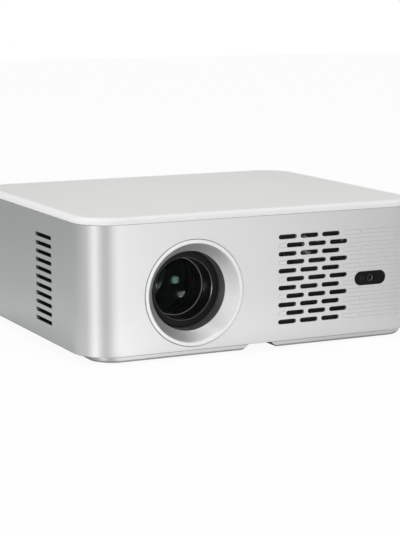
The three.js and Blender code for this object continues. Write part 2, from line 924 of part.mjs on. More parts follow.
// Focus motor on its bracket, with the pinion on its shaft
const motor = { radius: 9, length: 22, shaftRadius: 1.5, bracket: 2, bracketWidth: 19, margin: 2 };
const motorGroup = groupAt(lens.x + gearSpread, 0, lens.z);
const bracketFront = gearFront - motor.margin - motor.bracket;
const bracketBack = bracketFront + motor.bracket;
const bracketFoot = pocketRoof + notch.wall + gap - lens.z;
place(
  motorGroup,
  "motor_bracket",
  cut(
    join(
      box(
        [-motor.bracketWidth / 2, bracketFront, bracketFoot],
        [motor.bracketWidth / 2, bracketBack, motor.radius],
      ),
      box(
        [-motor.bracketWidth / 2, bracketFront, bracketFoot],
        [motor.bracketWidth / 2, gearBack, bracketFoot + motor.bracket],
      ),
    ),
    rodY(motor.shaftRadius + 2 * gap, bracketFront - overrun, bracketBack + overrun),
  ),
  steel,
);
place(
  motorGroup,
  "focus_motor",
  rodY(motor.radius, bracketFront - gap - motor.length, bracketFront - gap),
  steel,
);
place(
  motorGroup,
  "focus_pinion",
  join(
    prismY(gearOutline(gear.pinionTeeth, Math.PI / gear.pinionTeeth), gearFront, gearBack),
    rodY(motor.shaftRadius, bracketFront + gap, gearBack),
  ),
  brass,
);

// Sensor window with the focus camera and the ranger behind it, on their own board
const windowFront = frontFace + sensor.recess;
const windowFlange = frontFace + wall + gap;
const windowBack = windowFlange + sensor.flangeThickness;
const sensorBoard = { thickness: 1.2, width: 30, height: 13, standOff: 5.2 };
const sensorGroup = groupAt(sensor.x, 0, sensor.z);
place(
  sensorGroup,
  "sensor_window",
  cut(
    join(
      prismY(slotOutline(sensor.length, sensor.height), windowFront, windowBack, 2 * slotEndSteps),
      prismY(
        slotOutline(sensor.length + sensor.flangeGrow, sensor.height + sensor.flangeGrow),
        windowFlange,
        windowBack,
        2 * slotEndSteps,
      ),
    ),
    rodY(sensor.cameraRadius + gap, frontFace, windowBack + overrun, sensor.cameraX, 0),
    rodY(sensor.rangerRadius + gap, frontFace, windowBack + overrun, sensor.rangerX, 0),
  ),
  blackGloss,
);
const boardFront = windowBack + gap + sensorBoard.standOff;
const eye = { setBack: 0.5, bodyMargin: 1 };
for (const [name, x, radius] of [
  ["focus_camera", sensor.cameraX, sensor.cameraRadius],
  ["range_sensor", sensor.rangerX, sensor.rangerRadius],
]) {
  const half = radius + eye.bodyMargin / 2;
  const eyeBody = box([x - half, windowBack + gap, -half], [x + half, boardFront - gap, half]);
  const eyeTube = rodY(radius, windowFront + eye.setBack, windowBack + sensorBoard.standOff, x, 0);
  place(sensorGroup, name, join(eyeBody, eyeTube), blackPlastic);
}
place(
  sensorGroup,
  "sensor_board",
  box(
    [-sensorBoard.width / 2, boardFront, -sensorBoard.height / 2],
    [sensorBoard.width / 2, boardFront + sensorBoard.thickness, sensorBoard.height / 2],
  ),
  boardGreen,
);

// Intake filter behind the left vent
const filter = { margin: 3.5, thickness: 3.5 };
const ventBlockHeight = vent.rowPitch * (vent.rows - 1);
place(
  projector,
  "intake_filter",
  box(
    [
      wall + gap - sideFace,
      sideVent.leftY - sideVent.slotLength / 2 - filter.margin,
      vent.z - ventBlockHeight / 2 - filter.margin,
    ],
    [
      wall + gap + filter.thickness - sideFace,
      sideVent.leftY + sideVent.slotLength / 2 + filter.margin,
      vent.z + ventBlockHeight / 2 + filter.margin,
    ],
  ),
  foam,
);

// Light engine: an open-topped box and its lid, with the plates that stand in it
const engineInner = {
  left: engine.left + engine.wall,
  right: engine.right - engine.wall,
  front: engine.front + engine.wall,
  back: engine.back - engine.wall,
  floor: engine.bottom + engine.wall,
};
const lampWindow = { size: 46 };
const fromLampEnd = { imageFresnel: 65, panel: 57, lampFresnel: 46, condenser: 28 };
const optics = {
  mirrorHeight: 60,
  mirrorThickness: 3,
  mirrorMargin: 6.6,
  imageFresnelX: engine.right - fromLampEnd.imageFresnel,
  panelX: engine.right - fromLampEnd.panel,
  panelThickness: 3,
  lampFresnelX: engine.right - fromLampEnd.lampFresnel,
  fresnelThickness: 2,
  condenserX: engine.right - fromLampEnd.condenser,
  condenserThickness: 3,
  condenserBulge: 11,
  condenserRim: 1.5,
};
place(
  projector,
  "engine_housing",
  cut(
    box(
      [engine.left, engine.front, engine.bottom],
      [engine.right, engine.back, engine.top],
    ),
    box(
      [engineInner.left, engineInner.front, engineInner.floor],
      [engineInner.right, engineInner.back, engine.top + overrun],
    ),
    rodY(tubeInner, engine.front - overrun, engineInner.front + overrun, lens.x, lens.z, tubeSteps),
    box(
      [engineInner.right - overrun, opticY - lampWindow.size / 2, lens.z - lampWindow.size / 2],
      [engine.right + overrun, opticY + lampWindow.size / 2, lens.z + lampWindow.size / 2],
    ),
  ),
  blackPlastic,
);
place(
  projector,
  "engine_lid",
  join(
    box(
      [engine.left, engine.front, engine.top + gap],
      [engine.right, engine.back, engine.top + gap + engine.lidThickness],
    ),
    box(
      [engineInner.left + gap, engineInner.front + gap, engine.top - gap],
      [engineInner.right - gap, engineInner.back - gap, engine.top + 2 * gap],
    ),
  ),
  blackPlastic,
);
const plateTop = engine.top - 2 * gap;
const standingPlate = (x, thickness) =>
  box(
    [x - thickness / 2, engineInner.front + gap, engineInner.floor + gap],
    [x + thickness / 2, engineInner.back - gap, plateTop],
  );
const plates = [
  ["image_fresnel", optics.imageFresnelX, optics.fresnelThickness, glass],
  ["lcd_panel", optics.panelX, optics.panelThickness, blackGloss],
  ["lamp_fresnel", optics.lampFresnelX, optics.fresnelThickness, glass],
];
for (const [name, x, thickness, material] of plates)
  place(projector, name, standingPlate(x, thickness), material);

// The mirror stands across the box at 45 degrees, clear of its front and back walls by one margin
const mirrorReach = (engineInner.back - engineInner.front) / 2 - optics.mirrorMargin;
const mirrorHalf = mirrorReach * Math.SQRT2 - optics.mirrorThickness / 2;
const mirrorGroup = groupAt(lens.x, opticY, engineInner.floor + gap);
mirrorGroup.rotation.z = Math.PI / 4;
place(
  mirrorGroup,
  "fold_mirror",
  box(
    [-mirrorHalf, 0, 0],
    [mirrorHalf, optics.mirrorThickness, optics.mirrorHeight],
  ),
  mirrorCoat,
);

const condenserRadius = lens.z - engineInner.floor - gap;
const condenserGroup = groupAt(optics.condenserX, opticY, lens.z);
condenserGroup.rotation.z = -Math.PI / 2;
place(
  condenserGroup,
  "condenser_lens",
  makeLens(
    condenserRadius,
    condenserRadius - optics.condenserRim,
    0,
    optics.condenserThickness,
    gap,
    optics.condenserBulge,
  ),
  glass,
);

// Lamp board with its emitter, the finned sink and the lamp fan, in line along X
place(
  projector,
  "lamp_board",
  join(
    box(
      [lampBoardX, opticY - lamp.size / 2, lens.z - lamp.size / 2],
      [lampBoardX + lamp.thickness, opticY + lamp.size / 2, lens.z + lamp.size / 2],
    ),
    box(
      [lampBoardX - lamp.emitterHeight, opticY - lamp.emitter / 2, lens.z - lamp.emitter / 2],
      [lampBoardX + gap, opticY + lamp.emitter / 2, lens.z + lamp.emitter / 2],
    ),
  ),
  brass,
);
function combOutline({ base, finHeight, fins, finThickness, size }) {
  const pitch = (size - finThickness) / (fins - 1);
  const top = base + finHeight;
  const outline = [
    [0, 0],
    [size, 0],
  ];
  for (let fin = fins - 1; fin >= 0; fin--) {
    const left = fin * pitch;
    const right = left + finThickness;
    if (fin < fins - 1) outline.push([right, base]);
    outline.push([right, top], [left, top]);
    if (fin > 0) outline.push([left, base]);
  }
  return polygon(outline);
}
const sinkGroup = groupAt(sinkX, lampFan.y + sink.size / 2, lampFan.z - sink.size / 2);
sinkGroup.rotation.z = -Math.PI / 2;
place(sinkGroup, "lamp_heatsink", prismZ(combOutline(sink), 0, sink.size), aluminium);

// Fans: a square frame with a motor plate on three arms, and a rotor that spins in it. Local axis +Z
function makeFanFrame() {
  const square = roundedRectangle(fan.size, fan.size, fan.cornerRadius);
  const arms = [0, 1, 2].map((i) =>
    box(
      [0, -fan.spokeWidth / 2, 0],
      [fan.boreRadius + overrun, fan.spokeWidth / 2, fan.plate],
    ).rotate([0, 0, 120 * i + 30]),
  );
  return join(
    cut(
      prismZ(square, 0, fan.depth, cornerSteps / 2),
      rodZ(fan.boreRadius, -overrun, fan.depth + overrun, 0, 0, tubeSteps),
    ),
    rodZ(fan.hubRadius, 0, fan.plate, 0, 0, smallSteps),
    ...arms,
  );
}
function makeFanRotor() {
  const from = fan.plate + 2 * gap;
  const to = fan.depth - 2 * gap;
  const reach = fan.bladeRadius - fan.hubRadius + overrun;
  const height = to - from - 2 * gap;
  const lean = height * 0.45;
  const blade = [];
  const t = fan.bladeThickness / 2;
  blade.push([-lean - t, 0], [-lean + t, 0], [lean * 0.35 + t, height * 0.55]);
  blade.push([lean + t, height], [lean - t, height], [lean * 0.35 - t, height * 0.55]);
  const blades = [];
  for (let i = 0; i < fan.blades; i++) {
    const one = prismX(polygon(blade), fan.hubRadius - overrun, fan.hubRadius - overrun + reach);
    blades.push(one.translate([0, 0, from + gap]).rotate([0, 0, (360 / fan.blades) * i]));
  }
  return join(rodZ(fan.hubRadius, from, to, 0, 0, smallSteps), ...blades);
}
const fanFrame = makeFanFrame();
const fanRotor = makeFanRotor();

const frontFanGroup = groupAt(frontFan.x, frontFan.front + fan.depth, frontFan.z);
frontFanGroup.rotation.x = Math.PI / 2;
place(frontFanGroup, "front_fan_frame", fanFrame, blackPlastic);
place(frontFanGroup, "front_fan_rotor", fanRotor, darkPlastic);

const lampFanGroup = groupAt(lampFan.x, lampFan.y, lampFan.z);
lampFanGroup.rotation.y = Math.PI / 2;
place(lampFanGroup, "lamp_fan_frame", fanFrame, blackPlastic);
place(lampFanGroup, "lamp_fan_rotor", fanRotor, darkPlastic);

// Boards
const mainBoardTop = mainBoard.bottom + mainBoard.height;
place(
  projector,
  "main_board",
  box(
    [mainBoard.left, mainBoard.y, mainBoard.bottom],
    [mainBoard.right, mainBoard.y + mainBoard.thickness, mainBoardTop],
  ),
  boardGreen,
);
const chipSink = { size: 36, base: 2, finHeight: 7, fins: 8, finThickness: 1.4 };
const chipGroup = groupAt(
  (mainBoard.left + mainBoard.right - chipSink.size) / 2,
  mainBoard.y - gap,
  lens.z - chipSink.size / 2,
);
chipGroup.rotation.x = Math.PI;
place(chipGroup, "processor_heatsink", prismZ(combOutline(chipSink), -chipSink.size, 0), aluminium);
place(
  projector,
  "power_board",
  box(
    [powerBoard.x - powerBoard.width / 2, powerBoard.front, powerBoard.z],
    [
      powerBoard.x + powerBoard.width / 2,
      powerBoard.back,
      powerBoard.z + powerBoard.thickness,
    ],
  ),
  boardGreen,
);
const powerTop = powerBoard.z + powerBoard.thickness + gap;
const transformerInset = 15;
const transformer = {
  y: powerBoard.front + transformerInset,
  width: 30,
  depth: 22,
  height: 24,
  coreWidth: 14,
  coreGrow: 2,
};
place(
  projector,
  "transformer",
  join(
    box(
      [powerBoard.x - transformer.width / 2, transformer.y - transformer.depth / 2, powerTop],
      [
        powerBoard.x + transformer.width / 2,
        transformer.y + transformer.depth / 2,
        powerTop + transformer.height,
      ],
    ),
    box(
      [
        powerBoard.x - transformer.coreWidth / 2,
        transformer.y - transformer.depth / 2 - transformer.coreGrow,
        powerTop + transformer.coreGrow,
      ],
      [
        powerBoard.x + transformer.coreWidth / 2,
        transformer.y + transformer.depth / 2 + transformer.coreGrow,
        powerTop + transformer.height + transformer.coreGrow,
      ],
    ),
  ),
  darkPlastic,
);
const capacitor = { radius: 7, height: 30, inset: 9 };
place(
  projector,
  "mains_capacitor",
  rodZ(
    capacitor.radius,
    powerTop,
    powerTop + capacitor.height,
    powerBoard.x - capacitor.inset,
    powerBoard.back - capacitor.inset,
  ),
  aluminium,
);

// Rear panel with its sockets, power button, remote window and speaker slots
const button = {
  x: portShares.button * rear.width,
  radius: 5.5,
  flangeRadius: 7,
  flange: 1,
  proud: 0.6,
  stemRadius: 2,
  travel: 1.2,
  switchHeight: 2.8,
  switchSize: 6,
};
const remoteWindow = {
  x: portShares.remote * rear.width,
  length: 10,
  height: 6,
  recess: 0.2,
  depth: 4,
};
const usb = {
  x: portShares.usb * rear.width,
  width: 13.2,
  height: 5.8,
  skin: 0.4,
  tongue: 1.8,
  tongueWidth: 10.8,
};
const hdmi = {
  x: portShares.hdmi * rear.width,
  width: 15,
  height: 5.8,
  skin: 0.5,
  tongue: 1.2,
  tongueWidth: 11,
};
const audio = {
  x: portShares.audio * rear.width,
  width: 7,
  depth: 14,
  collarRadius: 3.4,
  boreRadius: 1.8,
  boreDepth: 12,
};
const portZ = 34;
const panelBack = backFace - wall - gap - rear.flangeThickness;
const boardRear = mainBoard.y + mainBoard.thickness + gap;
const portFace = backFace - gap;

function makeRearPanel() {
  const [out, inn] = [backFace + overrun, panelBack - overrun];
  let panel = join(
    prismY(roundedRectangle(rear.width, rear.height, rear.radius, 0, rear.z), panelBack, backFace, 6),
    prismY(
      roundedRectangle(
        rear.width + rear.flangeGrow,
        rear.height + rear.flangeGrow,
        rear.radius,
        0,
        rear.z,
      ),
      panelBack,
      panelBack + rear.flangeThickness,
      6,
    ),
  );
  const hole = (x, width, height, radius) =>
    prismY(roundedRectangle(width + 2 * gap, height + 2 * gap, radius, x, portZ), inn, out, 4);
  panel = cut(
    panel,
    hole(usb.x, usb.width, usb.height, gap),
    hole(hdmi.x, hdmi.width, hdmi.height, gap),
    hole(inlet.x, inlet.width, inlet.height, inlet.edge + gap),
    rodY(audio.collarRadius + gap, inn, out, audio.x, portZ),
    rodY(button.radius + gap, inn, out, button.x, portZ, lensSteps),
    prismY(
      slotOutline(remoteWindow.length + 2 * gap, remoteWindow.height + 2 * gap, remoteWindow.x, portZ),
      inn,
      out,
      8,
    ),
  );
  for (const side of [-1, 1])
    for (let i = 0; i < speaker.slots; i++) {
      const z = rear.z + speaker.slotPitch * (i - (speaker.slots - 1) / 2);
      const slot = slotOutline(speaker.slotLength, speaker.slotHeight, side * speakerX, z);
      panel = cut(panel, prismY(slot, inn, out, slotEndSteps));
    }
  return panel;
}
place(projector, "rear_panel", makeRearPanel(), darkPlastic);

place(
  projector,
  "remote_window",
  prismY(
    slotOutline(remoteWindow.length, remoteWindow.height, remoteWindow.x, portZ),
    backFace - remoteWindow.depth,
    backFace - remoteWindow.recess,
    8,
  ),
  blackGloss,
);
const buttonFlangeTop = panelBack - gap;
const stemEnd = boardRear + button.switchHeight + button.travel + gap;
place(
  projector,
  "power_button",
  join(
    rodY(button.radius, buttonFlangeTop - button.flange, backFace + button.proud, button.x, portZ, lensSteps),
    rodY(button.flangeRadius, buttonFlangeTop - button.flange, buttonFlangeTop, button.x, portZ, lensSteps),
    rodY(button.stemRadius, stemEnd, panelBack - gap, button.x, portZ),
  ),
  silverPaint,
);
place(
  projector,
  "power_switch",
  box(
    [button.x - button.switchSize / 2, boardRear, portZ - button.switchSize / 2],
    [
      button.x + button.switchSize / 2,
      boardRear + button.switchHeight,
      portZ + button.switchSize / 2,
    ],
  ),
  blackPlastic,
);

function makeSocket({ x, width, height, skin, tongue, tongueWidth }) {
  const z = portZ;
  const back = boardRear;
  const [w, h] = [width / 2, height / 2];
  return join(
    cut(
      box([x - w, back, z - h], [x + w, portFace, z + h]),
      box([x - w + skin, back + skin * 4, z - h + skin], [x + w - skin, portFace + overrun, z + h - skin]),
    ),
    box(
      [x - tongueWidth / 2, back + skin, z - tongue / 2],
      [x + tongueWidth / 2, portFace - skin * 4, z + tongue / 2],
    ),
  );
}
place(projector, "usb_socket", makeSocket(usb), steel);
place(projector, "hdmi_socket", makeSocket(hdmi), steel);
place(
  projector,
  "audio_jack",
  cut(
    join(
      box(
        [audio.x - audio.width / 2, boardRear, portZ - audio.width / 2],
        [audio.x + audio.width / 2, boardRear + audio.depth - gap, portZ + audio.width / 2],
      ),
      rodY(audio.collarRadius, boardRear + gap, portFace, audio.x, portZ),
    ),
    rodY(audio.boreRadius, portFace - audio.boreDepth, portFace + overrun, audio.x, portZ),
  ),
  blackPlastic,
);

function makeInlet() {
  const [w, h] = [inlet.width / 2, inlet.height / 2];
  const back = portFace - inlet.depth;
  const mouth = slotOutline(inlet.mouthWidth, inlet.mouthHeight, inlet.x, portZ);
  const pins = [-1, 1].map((side) =>
    rodY(
      inlet.pinRadius,
      back + gap,
      portFace - inlet.pinSetBack,
      inlet.x + (side * inlet.pinSpacing) / 2,
      portZ,
      boreSteps,
    ),
  );
  return join(
    cut(
      prismY(
        roundedRectangle(inlet.width, inlet.height, inlet.edge, inlet.x, portZ),
        back,
        portFace,
        4,
      ),
      prismY(mouth, portFace - inlet.mouthDepth, portFace + overrun, 8),
    ),
    ...pins,
  );
}
place(projector, "mains_inlet", makeInlet(), blackPlastic);

// Speakers behind the rear panel's slots: a square frame, a dished cone and the magnet
function makeSpeaker() {
  const front = panelBack - gap;
  const frame = box(
    [-speaker.size / 2, front - speaker.frame, -speaker.size / 2],
    [speaker.size / 2, front, speaker.size / 2],
  );
  const dish = turned(
    [
      [0, front + overrun],
      [speaker.coneRadius, front + overrun],
      [speaker.coneRadius, front],
      [speaker.coneRadius * 0.3, front - speaker.coneDepth],
      [0, front - speaker.coneDepth],
    ],
    lensSteps,
  );
  const magnet = turned(
    [
      [0, front - speaker.depth],
      [speaker.magnetRadius, front - speaker.depth],
      [speaker.magnetRadius, front - speaker.coneDepth - speaker.frame],
      [speaker.coneRadius, front - speaker.frame],
      [speaker.coneRadius, front - speaker.frame / 2],
      [0, front - speaker.frame / 2],
    ],
    lensSteps,
  );
  return cut(join(frame, magnet), dish);
}
const speakerSolid = makeSpeaker();
for (const [name, side] of [
  ["speaker_left", -1],
  ["speaker_right", 1],
])
  place(groupAt(side * speakerX, 0, rear.z), name, speakerSolid, blackPlastic);

export default projector;
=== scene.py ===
# %% [markdown]
# # Dressing a compact home projector
#
# The machine is a flat box with generous round corners: one silver wall wraps round it, a white rim
# and a grey matte panel close it on top, and a stepped base lifts it off the table. A dished round
# bezel holds the lens, a staggered vent sits beside it, and a pill-shaped dark window hides two small
# eyes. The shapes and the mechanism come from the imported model. This script gives every visible
# surface its fine form and its finish, one piece at a time.
#
# All sizes here are written in millimetres, because that is how such a product is drawn, and one
# factor turns them into Blender's metres.

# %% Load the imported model
import json
from math import cos, pi, radians, sin, tau

import bmesh
import bpy
import numpy as np
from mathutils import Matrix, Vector


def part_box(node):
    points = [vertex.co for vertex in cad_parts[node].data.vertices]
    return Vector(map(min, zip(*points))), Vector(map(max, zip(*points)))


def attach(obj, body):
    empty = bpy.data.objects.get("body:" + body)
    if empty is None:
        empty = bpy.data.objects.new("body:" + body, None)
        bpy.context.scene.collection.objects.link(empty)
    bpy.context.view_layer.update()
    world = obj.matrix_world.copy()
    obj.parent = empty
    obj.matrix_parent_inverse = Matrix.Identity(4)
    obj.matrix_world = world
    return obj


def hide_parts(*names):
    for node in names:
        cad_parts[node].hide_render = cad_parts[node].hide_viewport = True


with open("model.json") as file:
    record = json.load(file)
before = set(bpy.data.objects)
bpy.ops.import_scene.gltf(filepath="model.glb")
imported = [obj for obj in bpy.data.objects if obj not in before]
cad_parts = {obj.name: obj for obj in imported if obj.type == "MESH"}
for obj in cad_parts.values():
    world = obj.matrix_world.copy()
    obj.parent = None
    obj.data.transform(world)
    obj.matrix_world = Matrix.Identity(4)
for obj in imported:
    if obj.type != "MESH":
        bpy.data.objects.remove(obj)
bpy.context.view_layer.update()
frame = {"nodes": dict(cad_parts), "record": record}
nodes = frame["nodes"]
MM = 0.001


def node_box(name):
    """The lowest and highest corner of a node, in millimetres."""
    return [np.array(corner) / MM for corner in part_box(name)]


def put(name, data):
    """An object that shows this mesh, light or camera, linked into the scene."""
    made = bpy.data.objects.new(name, data)
    bpy.context.scene.collection.objects.link(made)
    return made


# %% [markdown]
# The camera comes first, because every later choice is judged through it. The picture was taken from
# the left and a little above with a long lens, so parallel edges stay nearly parallel. A long focal
# length far away gives that; a short one close by would make the near corner bulge.

# %% The camera of the picture
camera_data = bpy.data.cameras.new("picture_camera")
camera_data.sensor_width = 36
camera_data.lens = 117.36
camera_data.clip_end = 30
camera = put("picture_camera", camera_data)
camera.location = (-0.56346, -1.16395, 0.26023)
camera.rotation_euler = (radians(90 - 9.49), 0, radians(-26.04))
bpy.context.scene.camera = camera
bpy.context.scene.view_settings.view_transform = "Standard"
print("camera at", [round(v, 3) for v in camera.location])

# %% [markdown]
# Most parts here are moulded or pressed, and such a part is either an outline carried through a stack
# of levels or a section turned round an axis. Both are grids: one index runs along the outline, the
# other through the levels. So one helper joins any grid of points into faces, and the shapes
# themselves stay short formulas on whole arrays.

# %% Grids of points into meshes
def grid_faces(rows, columns, close_rows=False, close_columns=True):
    """Four-sided faces between neighbours on a grid that is numbered row by row. A closed direction
    also joins its last line back to its first."""
    row = np.arange(rows if close_rows else rows - 1)
    column = np.arange(columns if close_columns else columns - 1)
    a, b = np.meshgrid(row, column, indexing="ij")
    a2, b2 = (a + 1) % rows, (b + 1) % columns
    corners = [a * columns + b, a * columns + b2, a2 * columns + b2, a2 * columns + b]
    return np.stack(corners, -1).reshape(-1, 4)


def many_grids(points, close_rows=False, close_columns=True, caps=False):
    """Several grids of one size, stacked as copies x rows x columns x 3. The faces of the first are
    shifted by the number of points in a grid for each further copy; caps close both end rows."""
    copies, rows, columns, _ = points.shape
    one = grid_faces(rows, columns, close_rows, close_columns)
    shift = np.arange(copies) * rows * columns
    faces = (one[None] + shift[:, None, None]).reshape(-1, 4).tolist()
    if caps:
        ends = np.stack([np.arange(columns)[::-1], (rows - 1) * columns + np.arange(columns)])
        faces += (ends[None] + shift[:, None, None]).reshape(-1, columns).tolist()
    return points.reshape(-1, 3), faces


def add_object(name, points, faces):
    """A mesh object from points in millimetres, with doubles merged and faces turned outwards."""
    mesh = bpy.data.meshes.new(name)
    mesh.from_pydata((np.asarray(points) * MM).tolist(), [], faces)
    work = bmesh.new()
    work.from_mesh(mesh)
    bmesh.ops.remove_doubles(work, verts=work.verts, dist=1e-7)
    bmesh.ops.dissolve_degenerate(work, edges=work.edges, dist=1e-8)
    bmesh.ops.recalc_face_normals(work, faces=work.faces)
    work.to_mesh(mesh)
    work.free()
    return put(name, mesh)


def settle(made):
    """Works out an object's modifiers once and keeps the result as its mesh."""
    seen = made.evaluated_get(bpy.context.evaluated_depsgraph_get())
    result = bpy.data.meshes.new_from_object(seen)
    made.modifiers.clear()
    old, made.data = made.data, result
    name = old.name
    bpy.data.meshes.remove(old)
    result.name = name
    return made


def finish_piece(made, body, stands_for, materials, angle=32, flats_lead=True):
    """Shading, materials, the body that carries the piece, and the nodes that it stands for. Smooth
    shading stops at edges sharper than the angle, and big faces lead the normals, so that a flat
    stays flat beside its rounded edges. A lens leaves that out, because its sphere is all curve."""
    made.data.shade_smooth()
    made.data.set_sharp_from_angle(angle=radians(angle))
    if flats_lead:
        weighted = made.modifiers.new("flats lead", "WEIGHTED_NORMAL")
        weighted.weight, weighted.keep_sharp = 90, True
    for material in materials:
        made.data.materials.append(material)
    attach(made, body)
    if stands_for:
        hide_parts(*stands_for)
    print(f"{made.name}: {len(made.data.polygons)} faces on {body}")
    return made


def paint_faces(made, rule):
    """Gives each face the material number that the rule works out from its centre, in millimetres."""
    centre = np.empty(len(made.data.polygons) * 3)
    made.data.polygons.foreach_get("center", centre)
    numbers = rule(centre.reshape(-1, 3) / MM).astype(np.int32)
    made.data.polygons.foreach_set("material_index", numbers)
    print(f"{made.name}: faces per material", np.bincount(numbers).tolist())


# %% [markdown]
# Three outlines cover nearly the whole machine: the rounded rectangle of the body, the long round
# slot of vents and windows, and the circle. Each takes an inset, so that a chamfer or a rounded edge
# is just the same outline drawn in a little further at the next level.

# %% Outlines and edge profiles
def rounded_rectangle(width, depth, radius, inset, steps=26, ease=1.5):
    """Each quarter is its corner's centre plus (radius - inset) times the unit circle. Two extra
    points a little way along the straight sides keep the shading of the round off the flat."""
    inset = np.asarray(inset, float)[..., None]
    angle = np.linspace(0, pi / 2, steps + 1)
    parts = []
    for quarter, (sx, sy) in enumerate([(1, 1), (-1, 1), (-1, -1), (1, -1)]):
        turn = angle + quarter * pi / 2
        x = sx * (width / 2 - radius) + (radius - inset) * np.cos(turn)
        y = sy * (depth / 2 - radius) + (radius - inset) * np.sin(turn)
        start, end = quarter * pi / 2 - pi / 2, quarter * pi / 2 + pi
        x = np.concatenate([x[..., :1] + ease * cos(start), x, x[..., -1:] + ease * cos(end)], -1)
        y = np.concatenate([y[..., :1] + ease * sin(start), y, y[..., -1:] + ease * sin(end)], -1)
        parts.append(np.stack([x, y], -1))
    return np.concatenate(parts, -2)


def slot_outline(length, height, offset=0.0, steps=8):
    """Two half circles of the slot's half height, set apart by its length, grown by the offset."""
    offset = np.asarray(offset, float)[..., None]
    angle = np.linspace(-pi / 2, pi / 2, steps + 1)
    radius, reach = height / 2 + offset, length / 2 - height / 2
    right = np.stack([reach + radius * np.cos(angle), radius * np.sin(angle)], -1)
    return np.concatenate([right, -right], -2)


def circle_outline(radius, offset=0.0, steps=48):
    """Points at equal turns round a circle, grown by the offset."""
    offset = np.asarray(offset, float)[..., None]
    angle = np.arange(steps) * tau / steps
    return np.stack([(radius + offset) * np.cos(angle), (radius + offset) * np.sin(angle)], -1)


def rounded_edge(radius, steps=4):
    """A quarter round from a face into a hole or over an edge, as (offset, depth) pairs: the offset
    is radius times (1 - sin t), the depth radius times (1 - cos t)."""
    t = np.linspace(0, pi / 2, steps + 1)
    return np.stack([radius * (1 - np.sin(t)), radius * (1 - np.cos(t))], -1)


def turned(name, profile, centre, axis, steps=96, closed=True):
    """A section of (radius, distance along the axis) pairs, carried round the axis by the sine and
    cosine of the turn. A closed section gives a ring; an open one starts and ends on the axis."""
    profile = np.asarray(profile, float)
    turn = np.arange(steps) * tau / steps
    radius, along = profile[:, 0][:, None], profile[:, 1][:, None]
    a, b, c = radius * np.cos(turn), radius * np.sin(turn), along + 0 * turn
    order = {"x": (c, a, b), "y": (a, c, b), "z": (a, b, c)}[axis]
    points = np.stack(order, -1) + np.asarray(centre, float)
    return add_object(name, *many_grids(points[None], close_rows=closed))


def arc(centre_r, centre_y, radius, start, end, steps=6):
    """Points of a circular arc in the section plane, between two angles in degrees."""
    t = np.radians(np.linspace(start, end, steps + 1))
    return np.stack([centre_r + radius * np.cos(t), centre_y + radius * np.sin(t)], -1)


print("one body outline has", len(rounded_rectangle(264, 220, 26, 0)), "points")

# %% [markdown]
# Paint and plastic are never one flat colour. Three small effects come back in most finishes here:
# a fine grain like that of moulded or painted skin, a soft cloudiness that hands and dust leave, and
# the lint that settles on what faces up. Each is a node group with its own scale and amount, so a
# change to one is a change everywhere.

# %% Shared effects as node groups
def add_node(tree, kind, inputs=None, **settings):
    """A shader node: its own settings come first, then its inputs, each a value or another socket."""
    made = tree.nodes.new("ShaderNode" + kind)
    for label, value in settings.items():
        setattr(made, label, value)
    for label, value in (inputs or {}).items():
        if isinstance(value, bpy.types.NodeSocket):
            tree.links.new(value, made.inputs[label])
        else:
            made.inputs[label].default_value = value
    return made


def calculated(tree, operation, first, second, clamp=False):
    """The result of one operation on two numbers or sockets."""
    inputs = {0: first, 1: second}
    return add_node(tree, "Math", inputs, operation=operation, use_clamp=clamp).outputs[0]


def new_group(name, inputs, output):
    """A shader group with named number inputs and one number output, and the object's coordinates."""
    group = bpy.data.node_groups.new(name, "ShaderNodeTree")
    for label, default in inputs.items():
        socket = group.interface.new_socket(label, in_out="INPUT", socket_type="NodeSocketFloat")
        socket.default_value = default
    group.interface.new_socket(output, in_out="OUTPUT", socket_type="NodeSocketFloat")
    given = group.nodes.new("NodeGroupInput").outputs
    result = group.nodes.new("NodeGroupOutput").inputs[output]
    return group, given, result, add_node(group, "TexCoord").outputs["Object"]


def make_grain_group():
    """Two noises, one coarse and one more than twice as fine, as a height."""
    inputs = {"Scale": 900.0, "Fine share": 0.4}
    group, given, result, place = new_group("moulded grain", inputs, "Height")
    coarse, fine = [
        add_node(group, "TexNoise", {"Vector": place, "Scale": scale, "Detail": 1.0}).outputs["Fac"]
        for scale in (given["Scale"], calculated(group, "MULTIPLY", given["Scale"], 2.3))
    ]
    detail = calculated(group, "MULTIPLY", fine, given["Fine share"])
    group.links.new(calculated(group, "ADD", coarse, detail), result)
    return group


def make_cloud_group():
    """Slow noise round one: the shade that handling and uneven paint leave over centimetres."""
    group, given, result, place = new_group("soft clouding", {"Scale": 18.0, "Amount": 0.04}, "Factor")
    slow = {"Vector": place, "Scale": given["Scale"], "Detail": 3.0, "Roughness": 0.6}
    centred = calculated(group, "SUBTRACT", add_node(group, "TexNoise", slow).outputs["Fac"], 0.5)
    swing = calculated(group, "MULTIPLY", centred, given["Amount"])
    group.links.new(calculated(group, "ADD", swing, 1.0), result)
    return group


def make_dust_group():
    """Sparse specks of lint: a fine cell pattern cut off high, more of it where the surface faces up."""
    group, given, result, place = new_group("settled lint", {"Scale": 700.0, "Cover": 0.1}, "Mask")
    specks = add_node(group, "TexVoronoi", {"Vector": place, "Scale": given["Scale"]})
    near = calculated(group, "LESS_THAN", specks.outputs["Distance"], given["Cover"])
    split = add_node(group, "SeparateXYZ", {"Vector": add_node(group, "NewGeometry").outputs["Normal"]})
    upward = calculated(group, "MULTIPLY", split.outputs["Z"], 0.5, clamp=True)
    share = calculated(group, "ADD", upward, 0.15)
    group.links.new(calculated(group, "MULTIPLY", near, share), result)
    return group


GRAIN, CLOUD, DUST = make_grain_group(), make_cloud_group(), make_dust_group()
print("groups:", GRAIN.name, "|", CLOUD.name, "|", DUST.name)

# %% [markdown]
# A finish is then one Principled shader with its plain numbers set on it, and three links: clouded
# colour, varied roughness, and a grained surface. Writing that once as a function keeps the list of
# finishes short, and each finish still has its own depth, scale and sheen.

